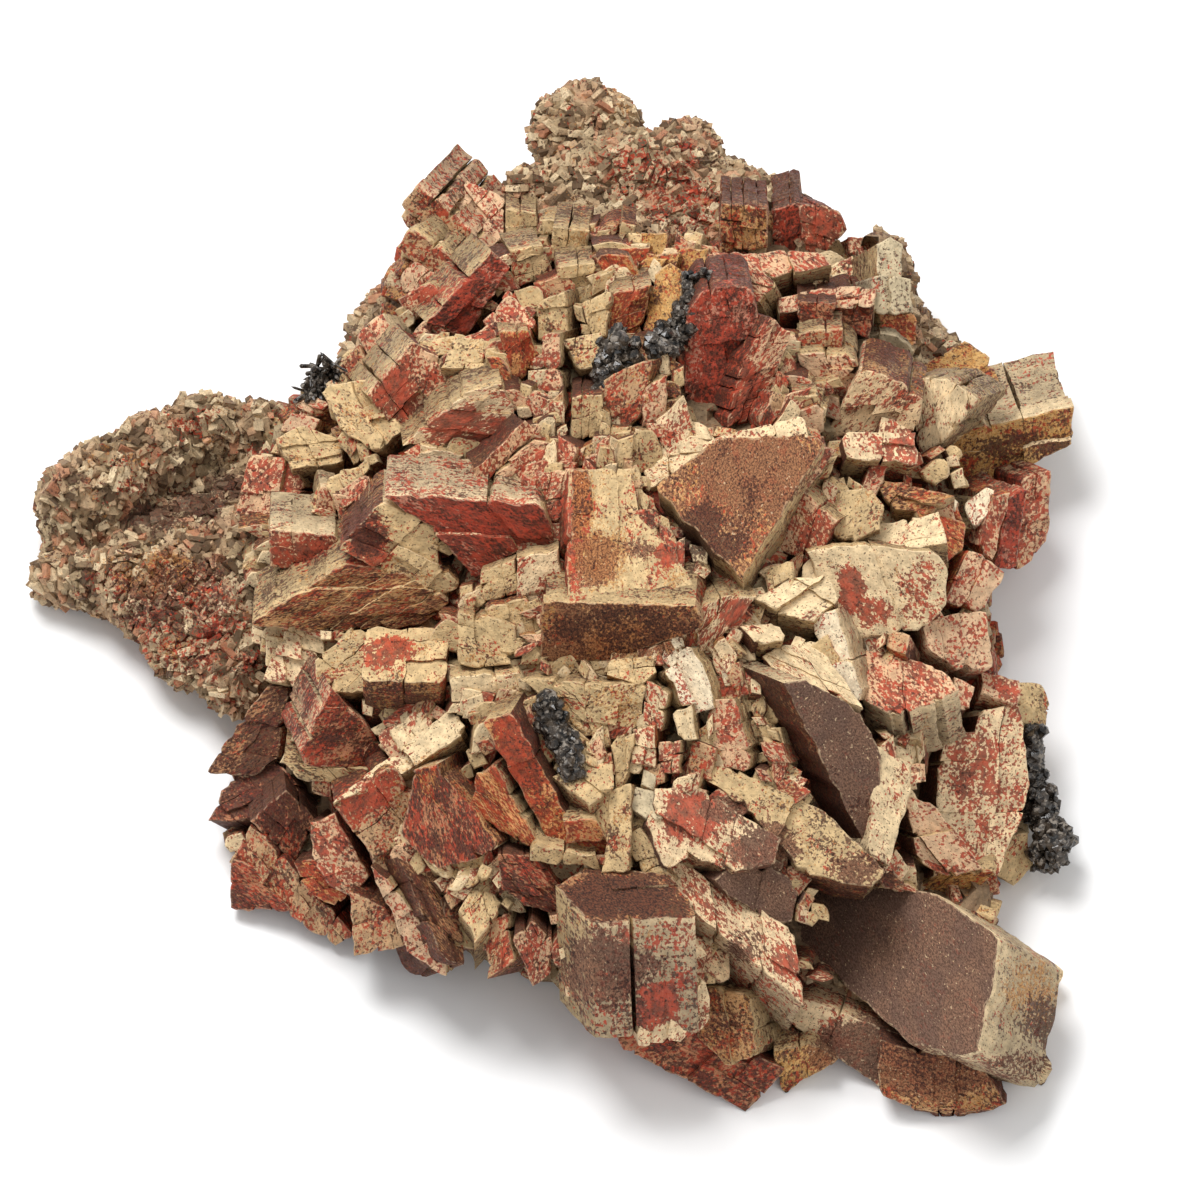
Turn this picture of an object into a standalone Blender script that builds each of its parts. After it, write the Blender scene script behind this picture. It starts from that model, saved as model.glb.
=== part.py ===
"""Microcline on matrix: blocky feldspar crystals grown over a lump of granular rock.

Metres, +Z up. The specimen rests on its flat sawn-looking underside at z = 0.
The crystal tables are laid out on the show face, a plane that leans back from
the front edge: X runs along the width, U up the slope, and depth towards the
viewer. All tables are in millimetres.
"""
import math
import random

import bmesh
import bpy
from mathutils import Matrix, Vector, noise

MM = 0.001
SHOW_SLOPE = math.radians(60)          # how far the viewer looks down at the show face
DOME_CENTRE = (10.0, -20.0)            # middle of the crystal mound on the ground
DOME_HALF = (128.0, 148.0, 95.0)       # its half width, half depth and height
CORE_CENTRE = (12.0, -16.0)            # middle of the massive feldspar under the crystals
CORE_HALF = (107.0, 124.0, 82.0)
LOWEST_FACE = 14.0                     # no crystal face starts lower than this
ROOT_DEPTH = 27.0                      # every crystal reaches at least this deep into the mound
CRYSTALS_CLEAR = 2.0                   # the crystals end this far above the ground
ROCK_GAP = 1.0                         # seam over the rock, about half of it at a crease
QUARTZ_GAP = 0.45                      # seam round the dark quartz
QUARTZ_TWIST = 0.4                     # turn from one quartz crystal to the next
ROCK_VOXEL = 6.0                       # grain of the matrix rock's faceted surface
ROCK_BUMP = 2.6
BURIED_KEEP = 0.40                     # share of its facets kept where crystals bury it
ROCK_KEEP = 0.36                       # share of all its facets kept after that
CRYSTALS_KEEP = 0.66                   # the same for the crystals, where cuts left needless ones
FILLERS = 300                          # small blocks tried in the gaps and on the back
SEED = 7

# Each crystal: the way its face looks (degrees, 0 right, 90 up), how far it leans that
# way from the viewer, its length behind the face, its lift, and the face's outline.
FRONT_RIGHT = [
    (153, 42, 32, 4, [(58, -92), (63, -84), (99, -88), (118, -101), (111, -135), (92, -131), (60, -102)]),
    (-25, 42, 34, 2, [(117, -101), (138, -111), (131, -131), (111, -129)]),
    (-60, 30, 38, -2, [(110, -130), (120, -125), (135, -139), (131, -145), (108, -140)]),
    (-95, 45, 30, -4, [(84, -132), (112, -138), (120, -150), (103, -156), (84, -147)]),
    (-110, 25, 26, -1, [(34, -104), (38, -101), (60, -119), (92, -131), (86, -147), (60, -128), (51, -121)]),
    (60, 22, 26, 1, [(20, -82), (22, -78), (33, -83), (57, -98), (60, -120), (39, -101), (28, -92)]),
    (40, 20, 26, 3, [(15, -67), (17, -57), (30, -57), (53, -71), (51, -78), (38, -80), (28, -75), (20, -80)]),
    (-20, 25, 24, 0, [(35, -83), (39, -80), (51, -80), (58, -85), (56, -95), (53, -96), (39, -88)]),
    (60, 28, 24, 4, [(31, -53), (33, -50), (41, -51), (66, -63), (84, -80), (80, -85), (60, -80), (44, -62)]),
    (200, 20, 20, 0, [(7, -71), (12, -69), (22, -83), (19, -87), (14, -83)]),
    (100, 25, 18, 0, [(10, -56), (17, -57), (18, -64), (15, -65), (10, -62)]),
    (92, 60, 40, 12, [(-12, -85), (-4, -80), (20, -82), (28, -93), (-2, -95)]),
    (-60, 20, 24, 12, [(20, -112), (31, -114), (32, -124), (25, -130), (12, -132), (14, -118)]),
    (200, 30, 26, 2, [(32, -116), (44, -118), (46, -135), (38, -138), (30, -130)]),
    (-90, 35, 26, -2, [(52, -135), (62, -133), (70, -137), (55, -147)]),
    (-90, 50, 30, -5, [(4, -126), (30, -128), (55, -140), (43, -152), (20, -140), (8, -134)]),
]
RIGHT = [
    (-22, 35, 40, 5, [(55, -25), (63, -25), (76, -33), (83, -45), (83, -65), (79, -73)]),
    (10, 30, 26, 1, [(82, -44), (92, -50), (93, -55), (86, -78), (80, -75)]),
    (75, 35, 26, 2, [(49, -17), (55, -14), (64, -13), (70, -21), (78, -32), (63, -25), (55, -24)]),
    (200, 20, 22, 3, [(63, -6), (70, -3), (78, -28), (76, -30), (66, -14)]),
    (102, 48, 19, 5, [(78, -29), (88, -34), (106, -27), (100, -20), (76, -14)]),
    (10, 20, 32, 0, [(103, -40), (114, -40), (114, -34), (125, -31), (128, -55), (125, -67), (118, -82), (100, -82)]),
    (-20, 30, 26, 3, [(91, -59), (100, -62), (114, -80), (103, -82), (96, -77)]),
    (-90, 45, 26, 0, [(96, -86), (103, -81), (118, -82), (110, -88), (98, -89)]),
    (-30, 30, 26, 0, [(120, -74), (128, -70), (129, -80), (124, -85), (118, -81)]),
    (0, 35, 30, 2, [(125, -25), (133, -26), (134, -33), (132, -44), (126, -42)]),
    (60, 35, 24, 1, [(115, -22), (125, -25), (124, -31), (115, -28)]),
    (30, 22, 26, 2, [(97, -8), (105, -5), (115, -4), (117, -20), (107, -20), (99, -14)]),
    (-60, 12, 30, 2, [(63, 14), (77, 16), (96, 14), (103, 12), (102, -3), (96, -8), (77, -11), (71, -8)]),
    (100, 32, 22, 3, [(80, 21), (101, 26), (103, 17), (85, 13), (78, 10)]),
    (40, 30, 22, 0, [(95, 27), (109, 23), (108, 15), (102, 12)]),
    (210, 25, 24, 0, [(60, 33), (70, 23), (64, 13), (54, 15)]),
    (80, 15, 22, 2, [(72, 32), (80, 33), (84, 28), (83, 22), (75, 18), (70, 20)]),
    (10, 30, 26, 0, [(104, 0), (111, 15), (121, 8), (114, -3)]),
    (-25, 25, 26, 1, [(114, 16), (118, 30), (123, 31), (118, 13)]),
    (-25, 28, 28, 3, [(119, 11), (123, 29), (128, 33), (125, 10)]),
    (-25, 32, 30, 5, [(126, 9), (128, 36), (136, 38), (135, 20), (131, 14)]),
    (120, 30, 14, 0, [(110, 29), (117, 34), (119, 31), (113, 22)]),
    (62, 38, 20, 4, [(74, 43), (94, 41), (94, 50), (74, 50)]),
    (-100, 20, 30, 2, [(68, 49), (79, 69), (90, 65), (96, 60), (95, 52), (83, 51)]),
    (90, 22, 20, 1, [(83, 36), (93, 34), (105, 31), (98, 26), (88, 28)]),
    (0, 20, 14, 1, [(97, 39), (103, 42), (105, 38), (101, 35)]),
    (60, 35, 32, 8, [(92, 68), (111, 78), (118, 73), (120, 66), (112, 60), (106, 66)]),
    (200, 20, 30, 5, [(92, 66), (104, 66), (113, 60), (103, 48), (97, 44)]),
    (-72, 30, 36, 16, [(105, 50), (143, 58), (142, 47), (126, 40), (106, 31)]),
    (90, 32, 22, 3, [(47, 0), (57, 6), (68, 7), (70, 0), (63, -6), (55, -4)]),
    (75, 42, 18, 2, [(42, -8), (52, -7), (55, -12), (47, -13)]),
    (200, 20, 22, 1, [(33, -31), (40, -30), (44, -44), (44, -50), (37, -49)]),
    (190, 25, 20, 0, [(23, -17), (27, -14), (33, -27), (33, -32), (27, -33), (25, -28)]),
]
CENTRE = [
    (100, 28, 26, 8, [(17, 34), (35, 47), (62, 49), (66, 46), (42, 7)]),
    (-22, 52, 20, 2, [(42, 6), (66, 46), (70, 44), (36, -3), (31, -5)]),
    (120, 35, 20, 3, [(12, 42), (27, 46), (45, 51), (60, 55), (62, 48), (35, 46), (16, 34)]),
    (-60, 25, 20, 2, [(29, -14), (30, -3), (36, 0), (46, 1), (40, -6), (32, -15)]),
    (70, 30, 40, 5, [(-9, 0), (28, -2), (27, 6), (20, 15), (9, 24), (9, 38), (-9, 38)]),
    (70, 30, 12, 9, [(-9, 1), (5, 0), (4, 22), (1, 38), (-8, 38)]),
    (180, 30, 22, 2, [(-18, 37), (-8, 39), (-11, 26), (-15, 24)]),
    (-93, 34, 22, 4, [(-64, 31), (-18, 28), (-15, 19), (-26, 15), (-37, 7), (-50, 22)]),
    (-90, 18, 18, 1, [(-24, 12), (-13, 14), (-12, 5), (-24, 1)]),
    (-110, 15, 18, 0, [(-35, 8), (-26, 11), (-25, 2), (-34, 0)]),
    (-80, 15, 18, 0, [(-33, -2), (-22, 0), (-20, -9), (-31, -11)]),
    (-100, 12, 22, 2, [(-42, -4), (-26, -8), (-27, -19), (-42, -19)]),
    (-80, 25, 22, 1, [(-44, -23), (-24, -22), (-23, -25), (-32, -29), (-43, -30)]),
    (-90, 15, 20, 1, [(-4, -26), (13, -25), (11, -38), (-4, -36)]),
    (-130, 18, 20, 2, [(-22, -24), (-5, -25), (-5, -38), (-9, -37)]),
    (90, 20, 18, 2, [(3, -18), (15, -17), (16, -21), (12, -25), (3, -22)]),
    (20, 20, 18, 2, [(20, -21), (23, -20), (28, -30), (25, -31)]),
    (200, 20, 18, 1, [(14, -25), (20, -28), (18, -38), (13, -36)]),
    (200, 15, 18, 1, [(22, -34), (27, -32), (28, -41), (24, -41)]),
    (180, 15, 18, 1, [(10, -39), (16, -38), (16, -49), (10, -48)]),
    (180, 15, 18, 1, [(18, -43), (24, -42), (23, -51), (18, -51)]),
    (238, 28, 20, 6, [(-26, -34), (-6, -71), (-14, -74), (-34, -37)]),
    (220, 25, 22, 2, [(-38, -63), (-36, -52), (-31, -50), (-19, -72), (-21, -73)]),
    (100, 42, 20, 4, [(-13, -53), (-8, -50), (3, -49), (3, -55), (-3, -60)]),
    (-90, 30, 20, 3, [(-10, -66), (-2, -65), (1, -71), (-9, -72)]),
    (-90, 35, 22, 3, [(-19, -73), (-2, -76), (-1, -80), (-20, -77)]),
    (190, 15, 20, 2, [(3, -58), (9, -55), (9, -80), (1, -80)]),
    (200, 15, 20, 1, [(4, -42), (10, -40), (8, -50), (5, -58)]),
]
LOWER_LEFT = [
    (92, 50, 21, 6, [(-47, -24), (-46, -9), (-69, -9), (-70, -24)]),
    (150, 22, 26, 0, [(-100, -23), (-94, -10), (-86, -11), (-84, -27)]),
    (100, 15, 26, 1, [(-84, -18), (-73, -8), (-64, -13), (-66, -19), (-71, -27), (-83, -27)]),
    (-60, 30, 26, 2, [(-80, -27), (-70, -38), (-65, -45), (-66, -50), (-87, -49), (-88, -45)]),
    (205, 42, 22, 2, [(-81, -25), (-88, -46), (-95, -48), (-90, -38)]),
    (-95, 35, 22, 1, [(-94, -48), (-87, -50), (-65, -50), (-70, -55), (-88, -54)]),
    (-20, 35, 26, 0, [(-100, -27), (-94, -27), (-97, -46), (-103, -52), (-118, -51)]),
    (-60, 20, 26, 3, [(-79, -60), (-62, -50), (-52, -64), (-67, -77)]),
    (120, 25, 24, 2, [(-79, -60), (-67, -50), (-46, -34), (-41, -36), (-41, -40), (-60, -52)]),
    (210, 25, 26, 5, [(-55, -51), (-48, -50), (-31, -73), (-38, -77), (-49, -79), (-58, -70)]),
    (-80, 25, 26, 1, [(-104, -66), (-94, -58), (-85, -66), (-92, -78)]),
    (150, 30, 26, 1, [(-112, -56), (-98, -49), (-90, -57), (-94, -62), (-105, -66), (-117, -66)]),
    (230, 30, 26, 0, [(-110, -78), (-105, -80), (-93, -93), (-110, -92)]),
    (225, 30, 24, 1, [(-104, -68), (-74, -100), (-80, -103), (-95, -92), (-110, -79)]),
    (220, 20, 24, 2, [(-86, -67), (-79, -65), (-70, -82), (-74, -88), (-80, -85), (-85, -76)]),
    (230, 25, 22, 2, [(-91, -79), (-85, -78), (-76, -88), (-80, -91), (-87, -87)]),
    (-110, 30, 30, -1, [(-74, -88), (-65, -92), (-57, -98), (-58, -103), (-73, -106)]),
    (225, 25, 26, 1, [(-68, -80), (-63, -84), (-47, -105), (-46, -112), (-57, -104)]),
    (20, 28, 26, 0, [(-60, -77), (-50, -84), (-42, -97), (-41, -108), (-47, -105)]),
    (90, 22, 22, 1, [(-41, -92), (-38, -86), (-31, -89), (-30, -92), (-37, -101)]),
    (190, 22, 24, 0, [(-34, -97), (-28, -94), (-26, -107), (-33, -112)]),
    (-90, 30, 26, -1, [(-25, -101), (-20, -96), (-15, -101), (-15, -111), (-20, -114)]),
    (-90, 20, 24, 0, [(-30, -76), (-19, -77), (-12, -86), (-13, -93), (-22, -90), (-28, -86)]),
]
UPPER_LEFT = [
    (-90, 32, 22, 3, [(-99, 21), (-80, 19), (-79, 10), (-98, 10)]),
    (-90, 20, 30, 4, [(-78, 15), (-65, 29), (-49, 21), (-49, 11), (-42, 4), (-50, 2)]),
    (-92, 36, 36, 3, [(-104, -7), (-76, 10), (-60, 8), (-45, -1), (-57, -8), (-90, -9)]),
    (180, 25, 30, 1, [(-105, 43), (-92, 42), (-90, 33), (-100, 25), (-109, 27)]),
    (100, 20, 26, 0, [(-97, 48), (-90, 52), (-78, 48), (-78, 42), (-92, 40)]),
    (150, 25, 20, 0, [(-96, 51), (-93, 56), (-85, 54), (-88, 50)]),
    (150, 20, 30, 2, [(-83, 63), (-69, 66), (-60, 51), (-68, 45), (-77, 52)]),
    (170, 25, 28, 1, [(-73, 80), (-66, 86), (-59, 76), (-66, 68)]),
    (-45, 20, 26, 2, [(-69, 62), (-56, 77), (-48, 71), (-46, 63), (-60, 50)]),
    (-80, 25, 22, 2, [(-58, 47), (-40, 61), (-30, 64), (-27, 58), (-26, 50), (-35, 45)]),
    (-50, 30, 18, 3, [(-38, 38), (-23, 53), (-20, 50), (-35, 34)]),
    (-132, 36, 30, 12, [(-60, 120), (-55, 126), (-34, 107), (-38, 101)]),
    (-132, 32, 28, 8, [(-61, 107), (-57, 112), (-40, 101), (-41, 97), (-47, 94)]),
    (90, 25, 26, 6, [(-47, 121), (-40, 127), (-30, 122), (-30, 110), (-38, 110)]),
    (180, 25, 20, 1, [(-60, 98), (-56, 102), (-50, 98), (-58, 90)]),
    (210, 30, 20, 1, [(-60, 91), (-52, 95), (-47, 92), (-57, 85)]),
    (-45, 22, 24, 2, [(-52, 84), (-33, 104), (-28, 100), (-40, 80)]),
    (-90, 18, 20, -2, [(-28, 118), (-20, 117), (-19, 108), (-28, 108)]),
    (-60, 20, 20, -4, [(-27, 105), (-18, 107), (-15, 98), (-25, 95)]),
    (-100, 25, 20, -3, [(-14, 112), (-4, 111), (-5, 102), (-14, 103)]),
    (-80, 20, 20, 1, [(-12, 100), (-2, 101), (-2, 93), (-12, 92)]),
    (-80, 20, 20, 1, [(-30, 80), (-22, 80), (-18, 71), (-26, 66)]),
    (120, 25, 20, 2, [(-34, 84), (-27, 91), (-20, 84), (-22, 79), (-31, 80)]),
    (90, 40, 18, 3, [(-47, 70), (-44, 78), (-36, 78), (-35, 70)]),
    (200, 18, 20, 2, [(-18, 89), (-11, 92), (-10, 79), (-18, 79)]),
    (200, 18, 20, 1, [(-17, 79), (-12, 79), (-12, 63), (-17, 63)]),
    (90, 20, 20, 0, [(-11, 78), (0, 80), (0, 70), (-6, 70)]),
    (-90, 20, 18, 0, [(-8, 60), (0, 61), (0, 50), (-8, 48)]),
    (180, 25, 20, 2, [(-5, 89), (3, 92), (2, 80), (-2, 80)]),
    (-80, 20, 20, 2, [(4, 91), (15, 94), (14, 91), (12, 80), (2, 80)]),
    (150, 30, 16, 4, [(13, 82), (17, 97), (21, 101), (24, 98), (24, 88), (18, 80)]),
    (200, 22, 22, 1, [(1, 64), (7, 69), (15, 71), (12, 56), (8, 52), (2, 57)]),
    (-30, 20, 20, 1, [(13, 62), (19, 66), (20, 55), (13, 53)]),
]
UPPER_RIGHT = [
    (-80, 20, 30, 3, [(26, 84), (31, 92), (44, 94), (47, 86), (43, 70), (36, 58), (26, 60)]),
    (-20, 30, 26, 1, [(38, 52), (48, 56), (57, 80), (50, 84), (43, 70)]),
    (120, 28, 24, 2, [(28, 103), (33, 105), (45, 101), (52, 95), (46, 90), (39, 93), (33, 92)]),
    (-90, 20, 26, 9, [(37, 120), (50, 118), (50, 107), (37, 106)]),
    (-90, 25, 26, 9, [(53, 118), (60, 120), (61, 112), (58, 106), (53, 107)]),
    (-30, 25, 26, 8, [(61, 120), (72, 118), (74, 113), (68, 106), (62, 106)]),
    (88, 40, 18, 5, [(32, 105), (67, 105), (69, 101), (52, 98), (40, 101)]),
    (60, 25, 20, 2, [(69, 100), (76, 104), (78, 98), (72, 96)]),
    (30, 25, 24, 1, [(76, 110), (84, 109), (86, 103), (82, 98), (78, 101)]),
    (88, 40, 22, 5, [(54, 91), (70, 94), (83, 94), (82, 89), (55, 87)]),
    (-90, 20, 20, 2, [(60, 90), (70, 89), (69, 83), (61, 82)]),
    (-80, 20, 20, 2, [(71, 91), (82, 91), (81, 79), (72, 84)]),
    (-90, 25, 20, 2, [(60, 80), (72, 81), (72, 75), (62, 75)]),
    (-90, 30, 20, 2, [(60, 74), (75, 73), (77, 70), (70, 66), (62, 68)]),
]
CRYSTALS = FRONT_RIGHT + RIGHT + CENTRE + LOWER_LEFT + UPPER_LEFT + UPPER_RIGHT

# Massive feldspar that carries the outlying crystals: centre and half sizes.
SHOULDERS = [
    (-40, 88, 22, 24, 28, 26),
    (50, 97, 20, 26, 22, 23),
    (100, 40, 14, 22, 24, 18),
    (-78, 32, 20, 26, 26, 22),
    (90, -112, 14, 27, 34, 16),
    (26, -118, 12, 28, 30, 16),
    (-78, -66, 14, 28, 30, 18),
]

# The rock: rounded lumps, centre and half sizes.
BASE_LUMPS = [
    (8, -12, 0, 104, 116, 50),
    (75, -92, 4, 44, 54, 24),
    (-56, -56, 4, 46, 48, 24),
    (80, 40, 6, 42, 62, 32),
    (-38, 66, 6, 42, 50, 32),
    (16, 108, 6, 58, 44, 32),
]
ARM_LUMPS = [
    (-161, 23, 20, 11, 9, 18), (-149, 27, 20, 13, 14, 19), (-135, 38, 20, 13, 11, 19),
    (-120, 46, 20, 14, 10, 18), (-105, 45, 20, 14, 9, 15), (-165, 1, 10, 11, 7, 10),
    (-151, -2, 14, 12, 9, 13), (-138, -2, 15, 14, 18, 15), (-124, -6, 15, 17, 32, 16),
    (-110, -10, 16, 16, 38, 17), (-90, 12, 14, 24, 36, 22),
]
LOBE_LUMPS = [
    (-4, 154, 18, 17, 15, 18), (-7, 142, 16, 11, 12, 14), (12, 135, 22, 25, 13, 20),
    (27, 145, 18, 11, 11, 17), (-22, 130, 17, 9, 9, 16),
]
TAN_ROCK_LUMPS = [(84, 96, 24, 11, 13, 25), (88, 76, 26, 10, 18, 24)]
MATRIX_LUMPS = BASE_LUMPS + ARM_LUMPS + LOBE_LUMPS + TAN_ROCK_LUMPS

# Outline of the crystal mound on the show face; the small blocks stay inside it.
MOUND_OUTLINE = [
    (-117, -54), (-119, -66), (-110, -78), (-109, -92), (-92, -94), (-74, -102), (-57, -105),
    (-47, -112), (-40, -106), (-31, -112), (-20, -113), (-14, -110), (-9, -120), (-2, -130),
    (10, -133), (20, -140), (43, -151), (62, -142), (76, -141), (86, -147), (103, -156),
    (120, -150), (131, -145), (134, -138), (130, -129), (138, -111), (118, -99), (112, -90),
    (128, -80), (132, -60), (134, -46), (134, -27), (118, -20), (117, -4), (122, 8), (135, 20),
    (136, 38), (128, 40), (143, 47), (145, 56), (140, 64), (118, 74), (111, 79), (95, 70),
    (93, 98), (86, 110), (72, 118), (60, 121), (36, 121), (34, 112), (5, 115), (-14, 118),
    (-30, 120), (-40, 127), (-56, 127), (-61, 118), (-61, 90), (-74, 80), (-86, 66),
    (-96, 56), (-110, 42), (-110, 26), (-106, -8), (-102, -26),
]

# Dark quartz: place on the show face, lift, direction (degrees) and lean, length, radius.
QUARTZ = {
    "smoky_quartz_vein": [
        (3, 72, 4, 80, 95, 20, 4.6), (11, 74, 4, 14, 92, 24, 4.4),
        (21, 79, 4, 42, 102, 24, 4.6), (27, 88, 6, 74, 105, 24, 4.8),
    ],
    "smoky_quartz_right": [
        (133, -65, 2, -60, 75, 26, 6.0), (135, -74, 2, -100, 75, 20, 5.5),
        (130, -47, 3, 80, 75, 22, 5.0), (131, -56, 2, 110, 75, 22, 5.5),
    ],
    "smoky_quartz_centre": [
        (-14, -35, 4, 110, 70, 18, 4.0), (-12, -41, 4, -60, 70, 20, 4.2),
        (-9, -46, 4, -80, 70, 14, 3.6),
    ],
    "smoky_quartz_left": [
        (-84, 66, 2, 120, 60, 15, 2.4), (-82, 66, 2, 75, 55, 15, 2.3),
        (-84, 64, 2, 200, 50, 14, 2.5),
    ],
}

VIEWER = Vector((0.0, -math.cos(SHOW_SLOPE), math.sin(SHOW_SLOPE)))
UPSLOPE = Vector((0.0, math.sin(SHOW_SLOPE), math.cos(SHOW_SLOPE)))
ACROSS = Vector((1.0, 0.0, 0.0))

FINISHES = {                           # colour, roughness
    "matrix": ((0.46, 0.36, 0.24), 0.9),
    "microcline_crystals": ((0.55, 0.33, 0.22), 0.65),
    "smoky_quartz": ((0.03, 0.028, 0.03), 0.2),
}


def clear_scene():
    for old in list(bpy.data.objects):
        bpy.data.objects.remove(old, do_unlink=True)


def new_collection(name):
    collection = bpy.data.collections.new(name)
    bpy.context.scene.collection.children.link(collection)
    return collection


def finish_material(name, key):
    colour, roughness = FINISHES[key]
    material = bpy.data.materials.new(name)
    material.use_nodes = True
    shader = material.node_tree.nodes["Principled BSDF"]
    shader.inputs["Base Color"].default_value = (*colour, 1.0)
    shader.inputs["Roughness"].default_value = roughness
    shader.inputs["Metallic"].default_value = 0.0
    return material


def show_point(x, u, depth):
    """A point of the show face, in millimetres, as a place in the object's frame."""
    return ACROSS * x + UPSLOPE * u + VIEWER * depth


def dome_depth(x, u):
    """Depth at which a sight line at (x, u) meets the mound's outer surface."""
    half = Vector(DOME_HALF)
    start = show_point(x, u, 0.0) - Vector((*DOME_CENTRE, 0.0))
    start = Vector((start.x / half.x, start.y / half.y, start.z / half.z))
    step = Vector((VIEWER.x / half.x, VIEWER.y / half.y, VIEWER.z / half.z))
    along = start.dot(step)
    room = along ** 2 - step.length_squared * (start.length_squared - 1.0)
    depth = (-along + math.sqrt(max(0.0, room))) / step.length_squared
    lowest = (LOWEST_FACE - u * UPSLOPE.z) / VIEWER.z
    return max(depth, lowest)


def crystal_corners(row):
    """The corners of a crystal's face, and the step from it to the face behind."""
    facing, lean, length, lift, outline = row
    facing, lean = math.radians(facing), math.radians(lean)
    mid_x = sum(x for x, _ in outline) / len(outline)
    mid_u = sum(u for _, u in outline) / len(outline)
    middle = dome_depth(mid_x, mid_u) + lift
    corners = []
    for x, u in outline:
        drop = ((x - mid_x) * math.cos(facing) + (u - mid_u) * math.sin(facing)) * math.tan(lean)
        corners.append((x, u, middle - drop))
    sideways = length * math.sin(lean)
    depth_back = max(length * math.cos(lean), ROOT_DEPTH)
    back = (-sideways * math.cos(facing), -sideways * math.sin(facing), -depth_back)
    return corners, back


def mesh_object(name, bm, collection):
    bmesh.ops.recalc_face_normals(bm, faces=bm.faces)
    mesh = bpy.data.meshes.new(name)
    bm.to_mesh(mesh)
    bm.free()
    made = bpy.data.objects.new(name, mesh)
    collection.objects.link(made)
    return made


def add_prism(bm, corners, back):
    """A straight crystal: its face, pushed back along its length."""
    ring = [bm.verts.new(show_point(*corner) * MM) for corner in corners]
    face = bm.faces.new(ring)
    pushed = bmesh.ops.extrude_face_region(bm, geom=[face], use_keep_orig=True)
    moved = [part for part in pushed["geom"] if isinstance(part, bmesh.types.BMVert)]
    bmesh.ops.translate(bm, verts=moved, vec=show_point(*back) * MM)


def add_lump(bm, lump, detail=3):
    """A rounded lump of rock: an icosphere with its own three half sizes."""
    x, y, z, half_x, half_y, half_z = lump
    place = Matrix.Translation(Vector((x, y, z)) * MM)
    size = Matrix.Diagonal((half_x * MM, half_y * MM, half_z * MM, 1.0))
    bmesh.ops.create_icosphere(bm, subdivisions=detail, radius=1.0, matrix=place @ size)


def hide_helpers(collection):
    for helper in collection.objects:
        helper.hide_render = True
        helper.display_type = "WIRE"


def settle(made, collection):
    """The object with its modifiers taken into a plain mesh."""
    graph = bpy.context.evaluated_depsgraph_get()
    mesh = bpy.data.meshes.new_from_object(made.evaluated_get(graph))
    name = made.name
    bpy.data.objects.remove(made, do_unlink=True)
    mesh.name = name
    plain = bpy.data.objects.new(name, mesh)
    collection.objects.link(plain)
    return plain


def boolean(made, other, operation, solver="EXACT"):
    cut = made.modifiers.new(operation.title(), "BOOLEAN")
    cut.operation = operation
    cut.solver = solver
    if isinstance(other, bpy.types.Collection):
        cut.operand_type = "COLLECTION"
        cut.collection = other
    else:
        cut.object = other


def ground_cutter(collection, top):
    """A wide slab whose top takes off everything lower."""
    bm = bmesh.new()
    size = Matrix.Diagonal((0.6, 0.6, 0.1, 1.0))
    place = Matrix.Translation((0.0, 0.0, top * MM - 0.05))
    bmesh.ops.create_cube(bm, size=1.0, matrix=place @ size)
    return mesh_object(f"ground_{top:g}", bm, collection)


def keep_largest_body(made):
    """Drops the chips that a cut leaves loose."""
    bm = bmesh.new()
    bm.from_mesh(made.data)
    bm.verts.ensure_lookup_table()
    unseen = set(bm.verts)
    bodies = []
    while unseen:
        body, front = [], [unseen.pop()]
        while front:
            vertex = front.pop()
            body.append(vertex)
            for edge in vertex.link_edges:
                other = edge.other_vert(vertex)
                if other in unseen:
                    unseen.discard(other)
                    front.append(other)
        bodies.append(body)
    bodies.sort(key=len)
    loose = [vertex for body in bodies[:-1] for vertex in body]
    bmesh.ops.delete(bm, geom=loose, context="VERTS")
    bm.to_mesh(made.data)
    bm.free()


def bareness(place):
    """0 where the rock is buried under the crystals, 1 where it lies bare."""
    reach = sum(((place[axis] / MM - (*DOME_CENTRE, 0.0)[axis]) / DOME_HALF[axis]) ** 2 for axis in range(3))
    return min(1.0, max(0.0, (math.sqrt(reach) - 0.75) * 5.0))


def build_matrix(parts, cutters):
    """Granular rock under the crystals, with the left arm and the lobes at the back."""
    bm = bmesh.new()
    for lump in MATRIX_LUMPS:
        add_lump(bm, lump)
    rock = mesh_object("matrix", bm, parts)
    remesh = rock.modifiers.new("Fuse", "REMESH")
    remesh.mode = "VOXEL"
    remesh.voxel_size = ROCK_VOXEL * MM
    rock = settle(rock, parts)
    for vertex in rock.data.vertices:
        swell = noise.noise(vertex.co * 38.0) + 0.5 * noise.noise(vertex.co * 90.0)
        vertex.co += vertex.normal * swell * bareness(vertex.co) * ROCK_BUMP * MM
    buried = rock.vertex_groups.new(name="buried")
    buried.add([v.index for v in rock.data.vertices if bareness(v.co) == 0.0], 1.0, "REPLACE")
    coarse = rock.modifiers.new("Coarse", "DECIMATE")
    coarse.vertex_group = buried.name
    coarse.ratio = BURIED_KEEP
    thin = rock.modifiers.new("Thin", "DECIMATE")
    thin.ratio = ROCK_KEEP
    boolean(rock, ground_cutter(cutters, 0.0), "DIFFERENCE")
    split = rock.modifiers.new("Split", "TRIANGULATE")
    split.min_vertices = 4
    return settle(rock, parts)


def rock_seat(rock, seats):
    """A slightly swollen copy of the rock, which leaves a fine seam under the crystals."""
    copy = bpy.data.objects.new("rock_seat", rock.data.copy())
    seats.objects.link(copy)
    grow = copy.modifiers.new("Grow", "DISPLACE")
    grow.direction = "NORMAL"
    grow.mid_level = 0.0
    grow.strength = ROCK_GAP * MM
    settle(copy, seats)


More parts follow.
